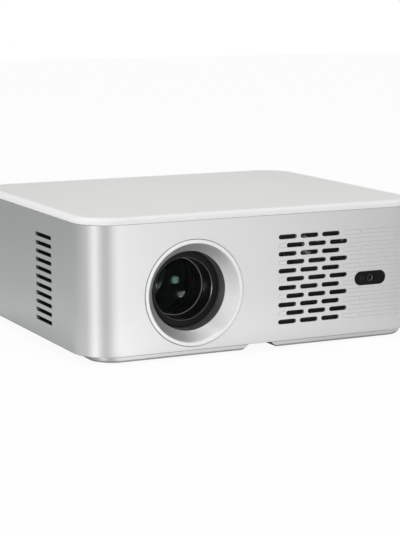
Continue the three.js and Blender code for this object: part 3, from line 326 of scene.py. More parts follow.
# %% A finish from its plain numbers
def new_finish(name, colour, roughness, metallic, grain, cloud, rough_cloud=0.12, lint=0.0, **plain):
    """A material: base colour times the clouding, roughness times a second clouding, and a bump.
    Grain is the bump's scale and its height in millimetres, cloud the clouding's scale and amount.
    Further names are the shader's own inputs."""
    material = bpy.data.materials.new(name)
    material.use_nodes = True
    tree = material.node_tree
    shader = tree.nodes["Principled BSDF"].inputs
    for label, value in {"Metallic": metallic, "Roughness": roughness, **plain}.items():
        shader[label.replace("_", " ")].default_value = value

    def effect(group, **inputs):
        inputs = {label.replace("_", " "): value for label, value in inputs.items()}
        return add_node(tree, "Group", inputs, node_tree=group).outputs[0]

    clouded = {"Factor": 1.0, "A": (*colour, 1), "B": effect(CLOUD, Scale=cloud[0], Amount=cloud[1])}
    tint = add_node(tree, "Mix", clouded, data_type="RGBA", blend_type="MULTIPLY").outputs["Result"]
    if lint:
        settled = effect(DUST, Scale=700.0, Cover=lint)
        dusted = {"Factor": settled, "A": tint, "B": (0.42, 0.41, 0.39, 1)}
        tint = add_node(tree, "Mix", dusted, data_type="RGBA").outputs["Result"]
    tree.links.new(tint, shader["Base Color"])
    if rough_cloud:
        rub = effect(CLOUD, Scale=cloud[0] * 2.7, Amount=rough_cloud)
        tree.links.new(calculated(tree, "MULTIPLY", rub, roughness), shader["Roughness"])
    skin = effect(GRAIN, Scale=grain[0], Fine_share=0.4)
    bump = add_node(tree, "Bump", {"Distance": grain[1] * MM, "Height": skin})
    tree.links.new(bump.outputs["Normal"], shader["Normal"])
    material.diffuse_color = (*colour, 1)
    return material


# %% [markdown]
# The silver is a fine metallic lacquer: aluminium flakes in a clear binder give it a soft, wide
# highlight that changes slowly round the corners. A mostly metallic and fairly smooth shader does
# that. A full metal would turn the sides black wherever the room is dark, and plain grey plastic
# would not brighten at the corner at all. The flakes are far smaller than a picture point, so all
# that shows of them is a very fine grain in the surface.
#
# What is meant to stay unseen is darker than black plastic: the anodised bore of the lens, the foam
# behind the side vent and the smoked window keep only a trace of their mirroring.

# %% The finishes
SILVER = new_finish("silver lacquer", (0.79, 0.79, 0.79), 0.25, 0.78, (1500, 0.006), (9, 0.02))
# The hair lines' faces take this darker lacquer: a painted shade that deepens the grooves.
HAIR_LINE_SHADE = new_finish("darker lacquer as painted shade in the hair lines", (0.66, 0.66, 0.66), 0.35, 0.7, (1500, 0.006),
                       (9, 0.05))
LIP = new_finish("bright satin lip", (0.85, 0.855, 0.855), 0.35, 0.7, (1500, 0.008), (12, 0.02))
SATIN_CONE = new_finish("satin turned silver", (0.86, 0.86, 0.86), 0.33, 0.75, (1800, 0.006),
                        (14, 0.02))
WHITE_RIM = new_finish("smooth white plastic", (0.855, 0.86, 0.85), 0.6, 0.0, (1100, 0.008),
                       (10, 0.015))
GREY_TOP = new_finish("matte grey panel", (0.745, 0.745, 0.735), 0.62, 0.0, (1300, 0.03), (7, 0.02))
BAFFLE = new_finish("anodised black", (0.005, 0.005, 0.006), 0.4, 0.0, (1600, 0.006), (25, 0.2),
                    Specular_IOR_Level=0.12)
BLACK = new_finish("fine black plastic", (0.018, 0.018, 0.02), 0.42, 0.0, (1600, 0.02), (25, 0.25),
                   lint=0.04)
DARK = new_finish("dark grey plastic", (0.035, 0.036, 0.038), 0.5, 0.0, (1200, 0.03), (22, 0.2),
                  lint=0.04)
# Blackened metal for the eye tubes; on the barrel's rims its lighter grey is a painted highlight.
EDGE_METAL_AND_HIGHLIGHT = new_finish("blackened metal, lighter as painted highlight on rims", (0.13, 0.135, 0.135), 0.2, 0.8, (1600, 0.01),
                  (60, 0.3))
# The throat's dark grey is a painted shade for the deep inside of the bezel.
SHADED_THROAT = new_finish("throat darkened as painted shade", (0.245, 0.245, 0.25), 0.4, 0.6, (1600, 0.012), (30, 0.12))
GLOSS = new_finish("smoked gloss", (0.006, 0.006, 0.0065), 0.1, 0.0, (400, 0.001), (20, 0.2),
                   Specular_IOR_Level=0.14)
RUBBER = new_finish("soft rubber", (0.03, 0.03, 0.031), 0.82, 0.0, (900, 0.05), (40, 0.3), lint=0.09)
STEEL = new_finish("plated steel", (0.62, 0.63, 0.64), 0.3, 1.0, (1400, 0.008), (40, 0.1))
BRASS = new_finish("turned brass", (0.62, 0.44, 0.16), 0.3, 1.0, (1500, 0.01), (50, 0.15))
ALUMINIUM = new_finish("drawn aluminium", (0.66, 0.67, 0.68), 0.38, 1.0, (1100, 0.015), (30, 0.1))
MIRROR = new_finish("front-silvered mirror", (0.87, 0.89, 0.9), 0.03, 1.0, (200, 0.0005), (5, 0.01))
BOARD = new_finish("green lacquered board", (0.02, 0.1, 0.045), 0.35, 0.0, (700, 0.02), (120, 0.5))
FOAM = new_finish("open black foam", (0.004, 0.004, 0.0042), 0.95, 0.0, (450, 0.4), (200, 0.8),
                  Specular_IOR_Level=0.1)
LENS_GLASS = new_finish("coated lens glass", (0.6, 0.68, 0.64), 0.01, 0.0, (100, 0.000002), (10, 0.02),
                        rough_cloud=0.0, Transmission_Weight=1.0, IOR=1.12)
PLATE_GLASS = new_finish("grooved fresnel plate", (0.5, 0.53, 0.52), 0.3, 0.0, (600, 0.02), (10, 0.02),
                         Transmission_Weight=1.0, IOR=1.49, Specular_IOR_Level=0.1)
FINISH_OF_SLOT = {
    "silver_paint": SILVER, "white_plastic": WHITE_RIM, "grey_panel": GREY_TOP,
    "black_plastic": BLACK, "dark_plastic": DARK, "black_gloss": GLOSS, "rubber": RUBBER,
    "steel": STEEL, "brass": BRASS, "aluminium": ALUMINIUM, "optical_glass": PLATE_GLASS,
    "mirror_coat": MIRROR, "board": BOARD, "foam": FOAM,
}
for subpart in frame["record"]["subparts"]:
    mesh = nodes[subpart["node"]].data
    mesh.materials.clear()
    mesh.materials.append(FINISH_OF_SLOT[subpart["material_slot"]])
    mesh.shade_flat()
print(len(bpy.data.materials), "finishes")

# %% [markdown]
# The wall of the case is one band of sheet, pressed round the four corners, with a small lip at its
# foot that stands on the base. It is a section carried along a path: the path is the body's rounded
# rectangle, and the section gives an inset and a height for each of its points. Rounds of 0.3 mm on
# the upper and lower edge catch the thin bright lines that a real edge shows.

# %% The wrap-around wall
FRONT, BACK, SIDE, CORNER = -110.0, 110.0, 132.0, 26.0
SHELL_LOW, SHELL_HIGH, WALL = 6.2, 96.2, 2.4


def band(name, section, **closing):
    """A piece from a section of (inset, height) pairs carried round the body's outline: rows follow
    the section, columns the path."""
    section = np.asarray(section, float)
    outline = rounded_rectangle(2 * SIDE, 2 * BACK, CORNER, section[:, 0])
    height = np.broadcast_to(section[:, 1][:, None, None], (*outline.shape[:2], 1))
    points = np.concatenate([outline, height], -1)
    return add_object(name, *many_grids(points[None], **closing))


edge = rounded_edge(0.3)
wall_section = np.concatenate([
    np.stack([edge[:, 0], SHELL_LOW + edge[:, 1]], -1),
    [[0, SHELL_LOW + 1.5], [0, SHELL_HIGH - 1.5]],
    np.stack([edge[::-1, 0], SHELL_HIGH - edge[::-1, 1]], -1),
    [[WALL, SHELL_HIGH], [WALL, 11.0], [WALL + 3, 11.0]],
    [[WALL + 3, 9.0], [WALL, 9.0], [WALL, SHELL_LOW]],
])
shell = band("silver_wall", wall_section, close_rows=True)
print("wall section:", len(wall_section), "points, wall:", len(shell.data.polygons), "faces")

# %% [markdown]
# The holes are punched: eleven staggered rows of three slots in front, one block of slots at the left
# and two at the right, the round hole of the lens, the pill of the sensor window, and the wide
# opening at the back. A bevel modifier would have to find its way round more than a hundred small
# outlines after the cut. It is surer to give the punch itself a flared collar, a quarter round that
# widens towards the face, so that each hole comes out with its rounded edge in one cut.

# %% Punches with a flared collar
def punch(outline_at, places, facing, face_at, flare=0.3, through=WALL + 1):
    """Closed prisms whose outline grows by the quarter round near the face: outline_at(offset) gives
    rows of outline points, places are the centres on the face, facing is the axis they are cut along."""
    levels = rounded_edge(flare)
    levels = np.concatenate([[[flare, -1.0]], levels, [[0.0, through]]])
    outline = outline_at(levels[:, 0])
    depth = np.broadcast_to(levels[:, 1][:, None], outline.shape[:2])
    places = np.asarray(places, float)[:, None, None]
    a, b = outline[None, ..., 0] + places[..., 0], outline[None, ..., 1] + places[..., 1]
    c = np.broadcast_to(depth[None], a.shape)
    inward = -1 if face_at > 0 else 1
    order = {"x": (face_at + inward * c, a, b), "y": (a, face_at + inward * c, b)}[facing]
    return many_grids(np.stack(order, -1), caps=True)


def joined(parts):
    """Several (points, faces) pairs as one."""
    points, faces, count = [], [], 0
    for some_points, some_faces in parts:
        faces += [[count + i for i in face] for face in some_faces]
        points.append(some_points)
        count += len(some_points)
    return np.concatenate(points), faces


def cut_away(made, name, parts):
    """Cuts the joined parts out of a piece with an exact boolean and settles the result."""
    tool = add_object(name, *joined(parts))
    boolean = made.modifiers.new("cut", "BOOLEAN")
    boolean.operation, boolean.solver, boolean.object = "DIFFERENCE", "EXACT", tool
    settle(made)
    bpy.data.objects.remove(tool)
    return made


LENS_X, LENS_Z = -52.51, 46.0
VENT_X, VENT_Z = 37.49, 50.0
SENSOR_X, SENSOR_Z = 87.81, 46.0
LENS_HOLE = 37.46
FRONT_SLOT, SIDE_SLOT, PILL, BACK_OPENING = (14.3, 3.12), (31.0, 2.75), (25.9, 10.1), (204.0, 50.0, 6.3)
ROW_PITCH, SLOT_PITCH, STAGGER = 6.05, 17.45, 6.4
ROWS = VENT_Z + ROW_PITCH * (5 - np.arange(11))
LEFT_BLOCK, RIGHT_BLOCKS = -29.0, (14.5, 49.5)
shift = STAGGER * (np.arange(11) % 2)
columns = VENT_X + SLOT_PITCH * (np.arange(3) - 1)
front_places = np.stack(np.broadcast_arrays(columns[None] + shift[:, None], ROWS[:, None]), -1)
front_places = front_places.reshape(-1, 2)


def side_vent(middles, face_at):
    """Blocks of long slots round these middles, which reach a little further down than up."""
    places = np.concatenate([np.stack([np.full(11, y), ROWS - 0.17], -1) for y in middles])
    return punch(lambda o: slot_outline(*SIDE_SLOT, o), places, "x", face_at)


cut_away(shell, "punches", [
    punch(lambda o: slot_outline(*FRONT_SLOT, o), front_places, "y", FRONT),
    side_vent([LEFT_BLOCK], -SIDE),
    side_vent(RIGHT_BLOCKS, SIDE),
    punch(lambda o: circle_outline(LENS_HOLE, o, 144), [(LENS_X, LENS_Z)], "y", FRONT, 0.05),
    punch(lambda o: slot_outline(*PILL, o, 24), [(SENSOR_X, SENSOR_Z)], "y", FRONT, 0.25),
    punch(lambda o: rounded_rectangle(*BACK_OPENING, -o, 10), [(0, 45.0)], "y", BACK, 0.3),
])
print("wall after punching:", len(shell.data.polygons), "faces")

# %% [markdown]
# Round the vent the wall carries hair lines, as if the slots' outlines went on under the lacquer: an
# empty fourth slot in every other row, a short closed end to the left of the rows between, and a pair
# of lines from each row on towards the right corner, where they fade out. They are real grooves,
# about 0.3 mm wide and 0.2 mm deep at most, which shade themselves as the light moves. Their faces
# also take a darker lacquer, a painted shade that makes the lines read darker than the grooves alone.

# %% Hair lines round the vent
def groove(path, inward, depth, width=0.5, closed=False):
    """A narrow trough along a path on a face: four points across it, carried along. Its floor lies as
    deep as the depth at that place, and its open side stands clear of the face. A closed path takes
    its directions across the seam as well."""
    path, inward = np.asarray(path, float), np.asarray(inward, float)
    along = np.roll(path, -1, 0) - np.roll(path, 1, 0) if closed else np.gradient(path, axis=0)
    along /= np.linalg.norm(along, axis=1)[:, None]
    across = np.cross(along, inward)
    depth = np.broadcast_to(depth, len(path))[:, None]
    rows = [path - inward * 0.4 - across * width / 2, path - inward * 0.4 + across * width / 2,
            path + inward * depth + across * width * 0.2, path + inward * depth - across * width * 0.2]
    return many_grids(np.stack(rows, 1)[None], close_rows=closed, caps=not closed)


def on_wall(s):
    """A place along the front wall and on round its right corner, from the distance s, with the
    direction into the wall: straight up to the corner, then along its arc."""
    turn = np.clip(s - SIDE + CORNER, 0, None) / CORNER
    x = np.minimum(s, SIDE - CORNER) + CORNER * np.sin(turn)
    y = FRONT + CORNER * (1 - np.cos(turn))
    return x, y, np.stack([-np.sin(turn), np.cos(turn), 0 * turn], -1)


DEEPEST, LINE_END, SHORT_END = 0.2, 124.0, 20.4
fade = np.linspace(DEEPEST, 0.02, 40)
turn = np.radians(np.linspace(90, 270, 17))
short_end = np.stack([14.5 + 1.5 * np.cos(turn), 1.5 * np.sin(turn)], -1)
short_end = np.concatenate([[[SHORT_END, 1.5]], short_end, [[SHORT_END, -1.5]]])
empty_slot = slot_outline(14.1, 3.0, 0.0, 12) + (VENT_X + 2 * SLOT_PITCH, 0)
grooves = []
for row, z in enumerate(ROWS):
    shifted = row % 2 == 1
    line, begin = (short_end, 69.6) if shifted else (empty_slot, 80.6)
    path = np.stack([line[:, 0], 0 * line[:, 0] + FRONT, line[:, 1] + z], -1)
    inward = np.broadcast_to((0, 1, 0), path.shape)
    grooves.append(groove(path, inward, DEEPEST, closed=not shifted))
    for lift in (1.5, -1.5):
        x, y, inward = on_wall(np.linspace(begin, LINE_END, 40))
        grooves.append(groove(np.stack([x, y, 0 * x + z + lift], -1), inward, fade))
cut_away(shell, "hair lines", grooves)
finish_piece(shell, "case", ["wrap_shell"], [SILVER, HAIR_LINE_SHADE, BLACK])


def depth_inside(centre, corner_centre, radius):
    """How far places lie inside a rounded rectangle round the origin: its corner radius, less their
    distance from the corner's centre, or beside a straight side less what they are past its line."""
    past = np.abs(centre[:, :2]) - corner_centre
    return radius - np.linalg.norm(np.clip(past, 0, None), axis=1) - np.clip(past.max(1), None, 0)


def wall_rule(centre):
    """The inner face, the wall of the lens hole and the long inner sides of the slots are black: partly
    bare plastic, and partly a painted shade that keeps the slots and the seam round the bezel dark. A
    side's centre lies between the slot's round ends and within its height. A groove's faces lie up to
    a quarter of a millimetre under the outer face, right of the slots or left of the shifted rows, and
    clear of the sensor window's edge; they take the darker lacquer, a painted shade in the lines."""
    x, y, z = centre.T
    under = depth_inside(centre, (SIDE - CORNER, BACK - CORNER), CORNER)
    front = y < -100
    hole = (np.hypot(x - LENS_X, z - LENS_Z) < LENS_HOLE + 0.04) & front & (under > 0.3)
    off = np.abs(np.stack([x, z], -1)[:, None] - front_places)
    front_half, front_tall, side_half, pill_half, pill_tall = 5.6, 1.6, 14.4, 7.9, 5.5
    in_front = ((off[..., 0] < front_half) & (off[..., 1] < front_tall)).any(1) & front
    right_middle = np.where(y < sum(RIGHT_BLOCKS) / 2, *RIGHT_BLOCKS)
    middle = np.where(x < 0, LEFT_BLOCK, right_middle)
    in_side = (np.abs(x) > SIDE - 4) & (np.abs(y - middle) < side_half)
    slot = (in_front | in_side) & (under > 0.4)
    shifted = np.rint((z - VENT_Z) / ROW_PITCH) % 2 == 0
    pill = np.hypot(np.clip(np.abs(x - SENSOR_X) - pill_half, 0, None), z - SENSOR_Z)
    place = ((x > 69.4) & (pill > pill_tall)) | ((x > 12) & (x < SHORT_END) & shifted)
    line = (under > 0.012) & (under < 0.24) & (np.abs(z - VENT_Z) < 33) & (y < -80) & place
    # Material 2 is black, partly bare plastic and partly painted shade; 1 is the grooves' painted shade.
    return np.where((under > 2.2) | hole | slot, 2, np.where(line, 1, 0))


paint_faces(shell, wall_rule)

# %% [markdown]
# The bezel is a turned ring: a bright rolled lip that stands a little proud of the wall, a wide cone
# that leads down to the lens, and a short dark throat with a black seal at its inner end. It is one
# section carried round the axis. The faces take their material from their own place: lip, cone,
# throat and seal. The throat's dark grey is a painted shade for the deep wall, and the seal's black
# also stands in for the shade at the bottom of the gap behind the barrel.

# %% Bezel and throat
LENS_AXIS = (LENS_X, 0.0, LENS_Z)
across = np.cos(np.linspace(0, pi, 23))
fall = np.where(across > 0, 0.9 * np.abs(across) ** 10, 0.7 * np.abs(across) ** 5)
lip = np.stack([35.75 + 1.43 * across, FRONT - 0.8 + fall], -1)
cone_turn = arc(28.6, FRONT + 9.55, 0.6, -120, -180, 5)
bezel_section = np.concatenate([
    [[34.0, -107.3], [37.2, -107.6]],
    lip,
    [[34.15, FRONT + 0.1], [33.9, FRONT + 0.45], [31.0, FRONT + 5.3]],
    cone_turn,
    [[28.0, FRONT + 11.0], [28.0, FRONT + 18.2], [27.4, FRONT + 18.4], [27.3, FRONT + 18.9],
     [28.3, FRONT + 19.0], [30.0, FRONT + 19.0], [30.0, FRONT + 9.6], [34.0, FRONT + 4.8]],
])
bezel = turned("lens_bezel_ring", bezel_section, LENS_AXIS, "y", 144)
finish_piece(bezel, "case", ["lens_bezel"], [SATIN_CONE, LIP, SHADED_THROAT, BLACK], angle=40)


def bezel_rule(centre):
    """The distance from the lens's axis and the depth behind the front tell the four bands apart."""
    radius = np.hypot(centre[:, 0] - LENS_X, centre[:, 2] - LENS_Z)
    # The throat's dark grey and the seal's black are painted shade deep in the bezel.
    throat = (radius < 28.15) & (centre[:, 1] > FRONT + 9.6)
    seal = (radius < 28.1) & (centre[:, 1] > FRONT + 18.2)
    rolled = (radius > 34.3) & (centre[:, 1] < FRONT + 0.2)
    return np.select([seal, throat, rolled], [3, 2, 1], 0)


paint_faces(bezel, bezel_rule)

# %% [markdown]
# Inside the throat the focusing barrel slides. It shows a broad black front ring, and behind the
# ring's edge a bore that is turned in fine steps, because a smooth black wall would throw stray light
# on to the screen. Where the bore ends, a narrow double lip holds the glass. The steps come from one
# zigzag section: the radius falls and the depth grows by turns.

# %% Lens barrel with its stepped bore
def stepped_bore(r0, y0, r1, y1, steps):
    """A staircase between two rims: at each tread the depth grows by an equal share, and at each
    riser the radius falls by an equal share."""
    radius = np.repeat(np.linspace(r0, r1, steps + 1), 2)[1:]
    depth = np.repeat(np.linspace(y0, y1, steps + 1), 2)[:-1]
    return np.stack([radius, depth], -1)


barrel_section = np.concatenate([
    arc(26.6, -91.8, 0.4, -90, 0, 4),
    [[27.0, -37.5], [26.7, -37.2], [24.0, -37.2], [24.0, -78.3], [20.9, -78.4], [20.35, -78.6],
     [20.3, -78.9], [20.7, -79.0], [20.75, -79.3], [21.1, -79.4]],
    stepped_bore(22.1, -91.6, 21.2, -79.7, 11)[::-1],
    arc(22.3, -91.6, 0.25, 180, 270, 3),
])
barrel = turned("lens_barrel_steps", barrel_section, LENS_AXIS, "y", 128)
finish_piece(barrel, "focus_barrel", ["lens_barrel"], [BAFFLE, EDGE_METAL_AND_HIGHLIGHT], angle=25)


def barrel_rule(centre):
    """The ring's inner edge and the double lip take the lighter metal, a painted highlight for their
    thin bright arcs.
    """
    radius = np.hypot(centre[:, 0] - LENS_X, centre[:, 2] - LENS_Z)
    rim = (radius < 22.45) & (centre[:, 1] < -91.6)
    return np.where(rim | ((radius < 20.75) & (centre[:, 1] < -78.45)), 1, 0)


paint_faces(barrel, barrel_rule)

# %% [markdown]
# A lens element is polished glass with two spherical caps and a ground rim. The cap's height over a
# chord follows from the sphere: with sag s over the clear radius a, the sphere's radius is
# (a squared + s squared) / 2s, and the surface lies at the root of R squared - r squared. True spheres
# matter here, because the small window-shaped reflections come from them.

# %% Lens elements
def spherical_cap(clear, sag, edge, sign, steps=18):
    """Points (r, y) from the axis to the clear radius, on a sphere of radius
    (clear^2 + sag^2) / (2 sag)."""
    big = (clear * clear + sag * sag) / (2 * sag)
    r = clear * np.sin(np.linspace(0, pi / 2, steps + 1))
    return np.stack([r, edge + sign * (np.sqrt(big * big - r * r) - (big - sag))], -1)


def lens_element(name, node, front_sag, back_sag, set_back=0.0):
    """A lens between two sagging caps, with a small chamfer on its ground rim. The set-back is how
    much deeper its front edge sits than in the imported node."""
    low, high = node_box(node)
    rim, clear, chamfer = 23.7, 20.9, 0.25
    front_edge, back_edge = low[1] + front_sag + set_back, high[1] - back_sag
    section = np.concatenate([
        spherical_cap(clear, front_sag, front_edge, -1),
        [[rim - chamfer, front_edge], [rim, front_edge + chamfer]],
        [[rim, back_edge - chamfer], [rim - chamfer, back_edge]],
        spherical_cap(clear, back_sag, back_edge, 1)[::-1],
    ])
    made = turned(name, section, LENS_AXIS, "y", 144, closed=False)
    return finish_piece(made, "focus_barrel", [node], [LENS_GLASS], 20, False)


front_glass = lens_element("front_element", "front_lens", 3.0, 2.0, set_back=4.9)
rear_glass = lens_element("rear_element", "rear_lens", 2.0, 4.2)

# %% [markdown]
# The top is two mouldings: a white frame whose edge rolls over softly from the side to the top, and a
# grey matte panel let into it a hair's breadth lower. The frame's outer edge isn't a plain quarter
# round. It starts steep and flattens late, so its level comes from a superellipse, where x to the
# power 2.3 plus z to the power 2.3 is one. The frame's foot comes close to the wall, and the seam
# between them is the thin dark line under the rim.

# %% White frame and grey panel
def superellipse(width, height, power, steps):
    """Points of a quarter superellipse: width (1 - cos(t)^(2/power)) inwards, and
    height sin(t)^(2/power) up."""
    t = np.linspace(0, pi / 2, steps + 1)
    return np.stack([width * (1 - np.cos(t) ** (2 / power)), height * np.sin(t) ** (2 / power)], -1)


roll = superellipse(2.6, 3.6, 2.3, 14)
frame_levels = np.concatenate([
    [[0.5, 96.32], [0.15, 96.34], [0.04, 96.44]],
    np.stack([roll[:, 0], 97.4 + roll[:, 1]], -1),
    [[3.45, 101.0], [3.6, 100.95], [3.7, 100.8], [3.7, 99.5]],
])
top_frame = band("white_top_frame", frame_levels, caps=True)
finish_piece(top_frame, "case", ["top_cover"], [WHITE_RIM], angle=40)
panel_levels = np.concatenate([
    [[4.2, 99.8], [4.0, 100.0]],
    [[4.0 + o, 100.95 - d] for o, d in rounded_edge(0.35)[::-1]],
])
top_panel = band("grey_top_panel", panel_levels, caps=True)
finish_piece(top_panel, "case", ["top_inlay"], [GREY_TOP], angle=40)

# %% [markdown]
# Pieces whose packed form is already right only want softened edges. A imported node's mesh is loose
# triangles, so a merged copy of it is made, its flat faces are joined up again, and a bevel takes
# the knife edge off. This is how the base, the rear panel, the tilt foot and the sockets are dressed.
#
# The base gets two touches more. Its plinth turns its corners a little tighter than in the packed
# model, so its points are drawn on to smaller arcs. And faces within the plinth's walls are black, but
# for the finger notch in front: partly bare plastic, and partly a painted shade inside the moulding.

# %% Softened copies of imported nodes
def softened(node, name, body, material, radius):
    """A merged copy of a node with its coplanar faces joined and its sharp edges rounded."""
    source = nodes[node]
    mesh = source.data.copy()
    mesh.name = name
    work = bmesh.new()
    work.from_mesh(mesh)
    bmesh.ops.remove_doubles(work, verts=work.verts, dist=2e-6)
    bmesh.ops.dissolve_limit(work, angle_limit=radians(1.0), verts=work.verts, edges=work.edges)
    work.to_mesh(mesh)
    work.free()
    mesh.materials.clear()
    made = put(name, mesh)
    bevel = made.modifiers.new("softened edges", "BEVEL")
    bevel.width, bevel.segments = radius * MM, 2
    bevel.limit_method, bevel.angle_limit = "ANGLE", radians(40)
    bevel.use_clamp_overlap = True
    settle(made)
    return finish_piece(made, body, [node], [material], angle=35)


PACKED_CENTRE, PACKED_RADIUS = (101.0, 85.0), 22.0
PLINTH_CENTRE, PLINTH_RADIUS = (104.7, 88.5), 18.5


def tighten_plinth(spots):
    """Moves the plinth's outer skin, below the wall's foot: its corner arcs take the smaller radius
    round their new centre, and its sides go 0.2 out. A skin point keeps its direction from the middle
    of its arc."""
    side, past = np.sign(spots[:, :2]), np.abs(spots[:, :2]) - PACKED_CENTRE
    length = np.linalg.norm(np.clip(past, 0, None), axis=1)
    below = spots[:, 2] < SHELL_LOW - 0.1
    skin = (length > 18) & (past.min(1) > -1e-4) & below
    flat = (past[:, 0] > 18) & (past[:, 1] <= 0) & below
    shorter = (length - PACKED_RADIUS + PLINTH_RADIUS) / np.maximum(length, 1)
    spots[skin, :2] = (side * (PLINTH_CENTRE + past * shorter[:, None]))[skin]
    spots[flat, 0] += 0.2 * side[flat, 0]
    return spots


def move_points(made, rule):
    """Gives the rule all points of a mesh at once, in millimetres, and puts back what it returns."""
    spots = np.empty(len(made.data.vertices) * 3)
    made.data.vertices.foreach_get("co", spots)
    made.data.vertices.foreach_set("co", (rule(spots.reshape(-1, 3) / MM) * MM).reshape(-1))
    made.data.update()


def base_rule(centre):
    """Black are the faces above the floor that lie inside the plinth's own outline by more than its
    wall, apart from the notch: partly bare plastic, and partly a painted shade inside the base."""
    base_floor, plinth_wall, notch_half, notch_back = 3.0, 1.2, 13.6, -98
    inside = depth_inside(centre, PLINTH_CENTRE, PLINTH_RADIUS) > plinth_wall
    notch = (np.abs(centre[:, 0]) < notch_half) & (centre[:, 1] < notch_back)
    return np.where((centre[:, 2] > base_floor) & inside & ~notch, 1, 0)


base = softened("bottom_cover", "stepped_base", "case", SILVER, 0.25)
move_points(base, tighten_plinth)
base.data.materials.append(BLACK)
paint_faces(base, base_rule)
softened("tilt_foot", "fold_out_foot", "tilt_leg", SILVER, 0.3)
softened("rear_panel", "rear_plate", "case", DARK, 0.25)
softened("usb_socket", "usb_shell", "case", STEEL, 0.12)
softened("hdmi_socket", "video_shell", "case", STEEL, 0.12)
softened("audio_jack", "audio_jack_body", "case", BLACK, 0.12)
softened("mains_inlet", "mains_inlet_body", "case", BLACK, 0.12)

# %% [markdown]
# The sensor window is a dark polished pill, level with the wall. Behind it sit a small camera and a
# ranger, each a stepped tube of blackened metal with a domed glass in front. They are what makes the
# pill read as an instrument and not as a hole, so the tubes get fine rims and the domes are true
# caps.

# %% Sensor window and its two eyes
PILL_FACE, PILL_FLANGE = -109.8, 1.2
window_levels = np.concatenate([
    [[PILL_FLANGE, -106.1], [PILL_FLANGE, -107.3], [0.0, -107.3]],
    [[-o, PILL_FACE + d] for o, d in rounded_edge(0.4)[::-1]],
])
outline = slot_outline(25.3, 9.5, window_levels[:, 0], 24)
depth = np.broadcast_to(window_levels[:, 1][:, None], outline.shape[:2])
window_points = np.stack([outline[..., 0] + SENSOR_X, depth, outline[..., 1] + SENSOR_Z], -1)
window = add_object("sensor_pill", *many_grids(window_points[None], caps=True))
EYES = {"focus_camera": (SENSOR_X + 0.6, 2.5), "range_sensor": (SENSOR_X - 6.0, 1.7)}
cut_away(window, "eye holes", [
    punch(lambda o, r=r: circle_outline(r + 0.3, o, 40), [(x, SENSOR_Z)], "y", PILL_FACE, 0.15, 4.5)
    for x, r in EYES.values()
])
finish_piece(window, "case", ["sensor_window"], [GLOSS])
for node, (x, r) in EYES.items():
    tube = np.array([
        [0.0, -105.7], [r, -105.7], [r, -109.0], [r - 0.12, -109.15], [r - 0.35, -109.15],
        [r - 0.5, -108.9], [r * 0.62, -108.4], [r * 0.6, -107.9], [0.0, -107.9],
    ])
    eye = turned(node + "_tube", tube, (x, 0, SENSOR_Z), "y", 48, closed=False)
    finish_piece(eye, "case", [node], [EDGE_METAL_AND_HIGHLIGHT], angle=25)
    dome = np.concatenate([
        [[0.0, -107.8], [r * 0.58, -107.8]],
        spherical_cap(r * 0.58, r * 0.3, -108.0, -1, 8)[::-1],
    ])
    glass = turned(node + "_dome", dome, (x, 0, SENSOR_Z), "y", 40, closed=False)
    finish_piece(glass, "case", (), [GLOSS])

# %% [markdown]
# Behind the front vent lies a fine black net that keeps fluff out of the fan, and another one behind
# the right vent. They are woven: each wire is a thin tube whose height swings as a cosine, over one
# crossing wire and under the next. All wires of a direction are one grid with a copy for each wire,
# so a whole net costs two array expressions.

# %% Woven nets behind the vents
def woven_wires(starts, length_axis, low, high, crossings, lift, radius, y0, sides=4):
    """Tubes along one direction: the centre line's depth is y0 plus or minus lift times cos(pi k) at
    the k-th crossing, with the sign turned for every other wire."""
    k = np.arange(crossings + 1)
    along = np.linspace(low, high, crossings + 1)
    sign = np.where(np.arange(len(starts)) % 2, -1.0, 1.0)[:, None]
    swing = y0 + lift * sign * np.cos(pi * k)[None]
    turn = np.arange(sides) * tau / sides + pi / 4
    side, deep = radius * np.cos(turn), radius * np.sin(turn)
    across = starts[:, None, None] + side[None, None] + 0 * swing[..., None]
    y = swing[..., None] + deep[None, None]
    lengthwise = np.broadcast_to(along[None, :, None], y.shape)
    order = (lengthwise, y, across) if length_axis == "x" else (across, y, lengthwise)
    return many_grids(np.stack(order, -1), caps=True)


def woven_net(low, high, count, depth):
    """Both directions of wires over a rectangle. Their swings are opposite, so that a wire passes
    over where the other direction's is under."""
    (x0, z0), (x1, z1), (across, up), swing, wire = low, high, count, 0.16, 0.17
    return joined([
        woven_wires(np.linspace(x0, x1, across), "z", z0, z1, up - 1, swing, wire, depth),
        woven_wires(np.linspace(z0, z1, up), "x", x0, x1, across - 1, -swing, wire, depth),
    ])


front_net = add_object("vent_net", *woven_net((10.5, 17.0), (71.5, 83.0), (48, 52), -106.9))
finish_piece(front_net, "case", (), [BLACK], angle=60)
points, faces = woven_net((-3.0, 17.0), (67.0, 83.0), (72, 67), -129.0)
side_net = add_object("side_vent_net", np.stack([-points[:, 1], points[:, 0], points[:, 2]], -1), faces)
finish_piece(side_net, "case", (), [BLACK], angle=60)

# %% [markdown]
# The four feet are soft rubber pads with a rounded rim and a shallow dished face, so that they grip
# by their edge. The power button is a shallow dish with a rounded rim as well.

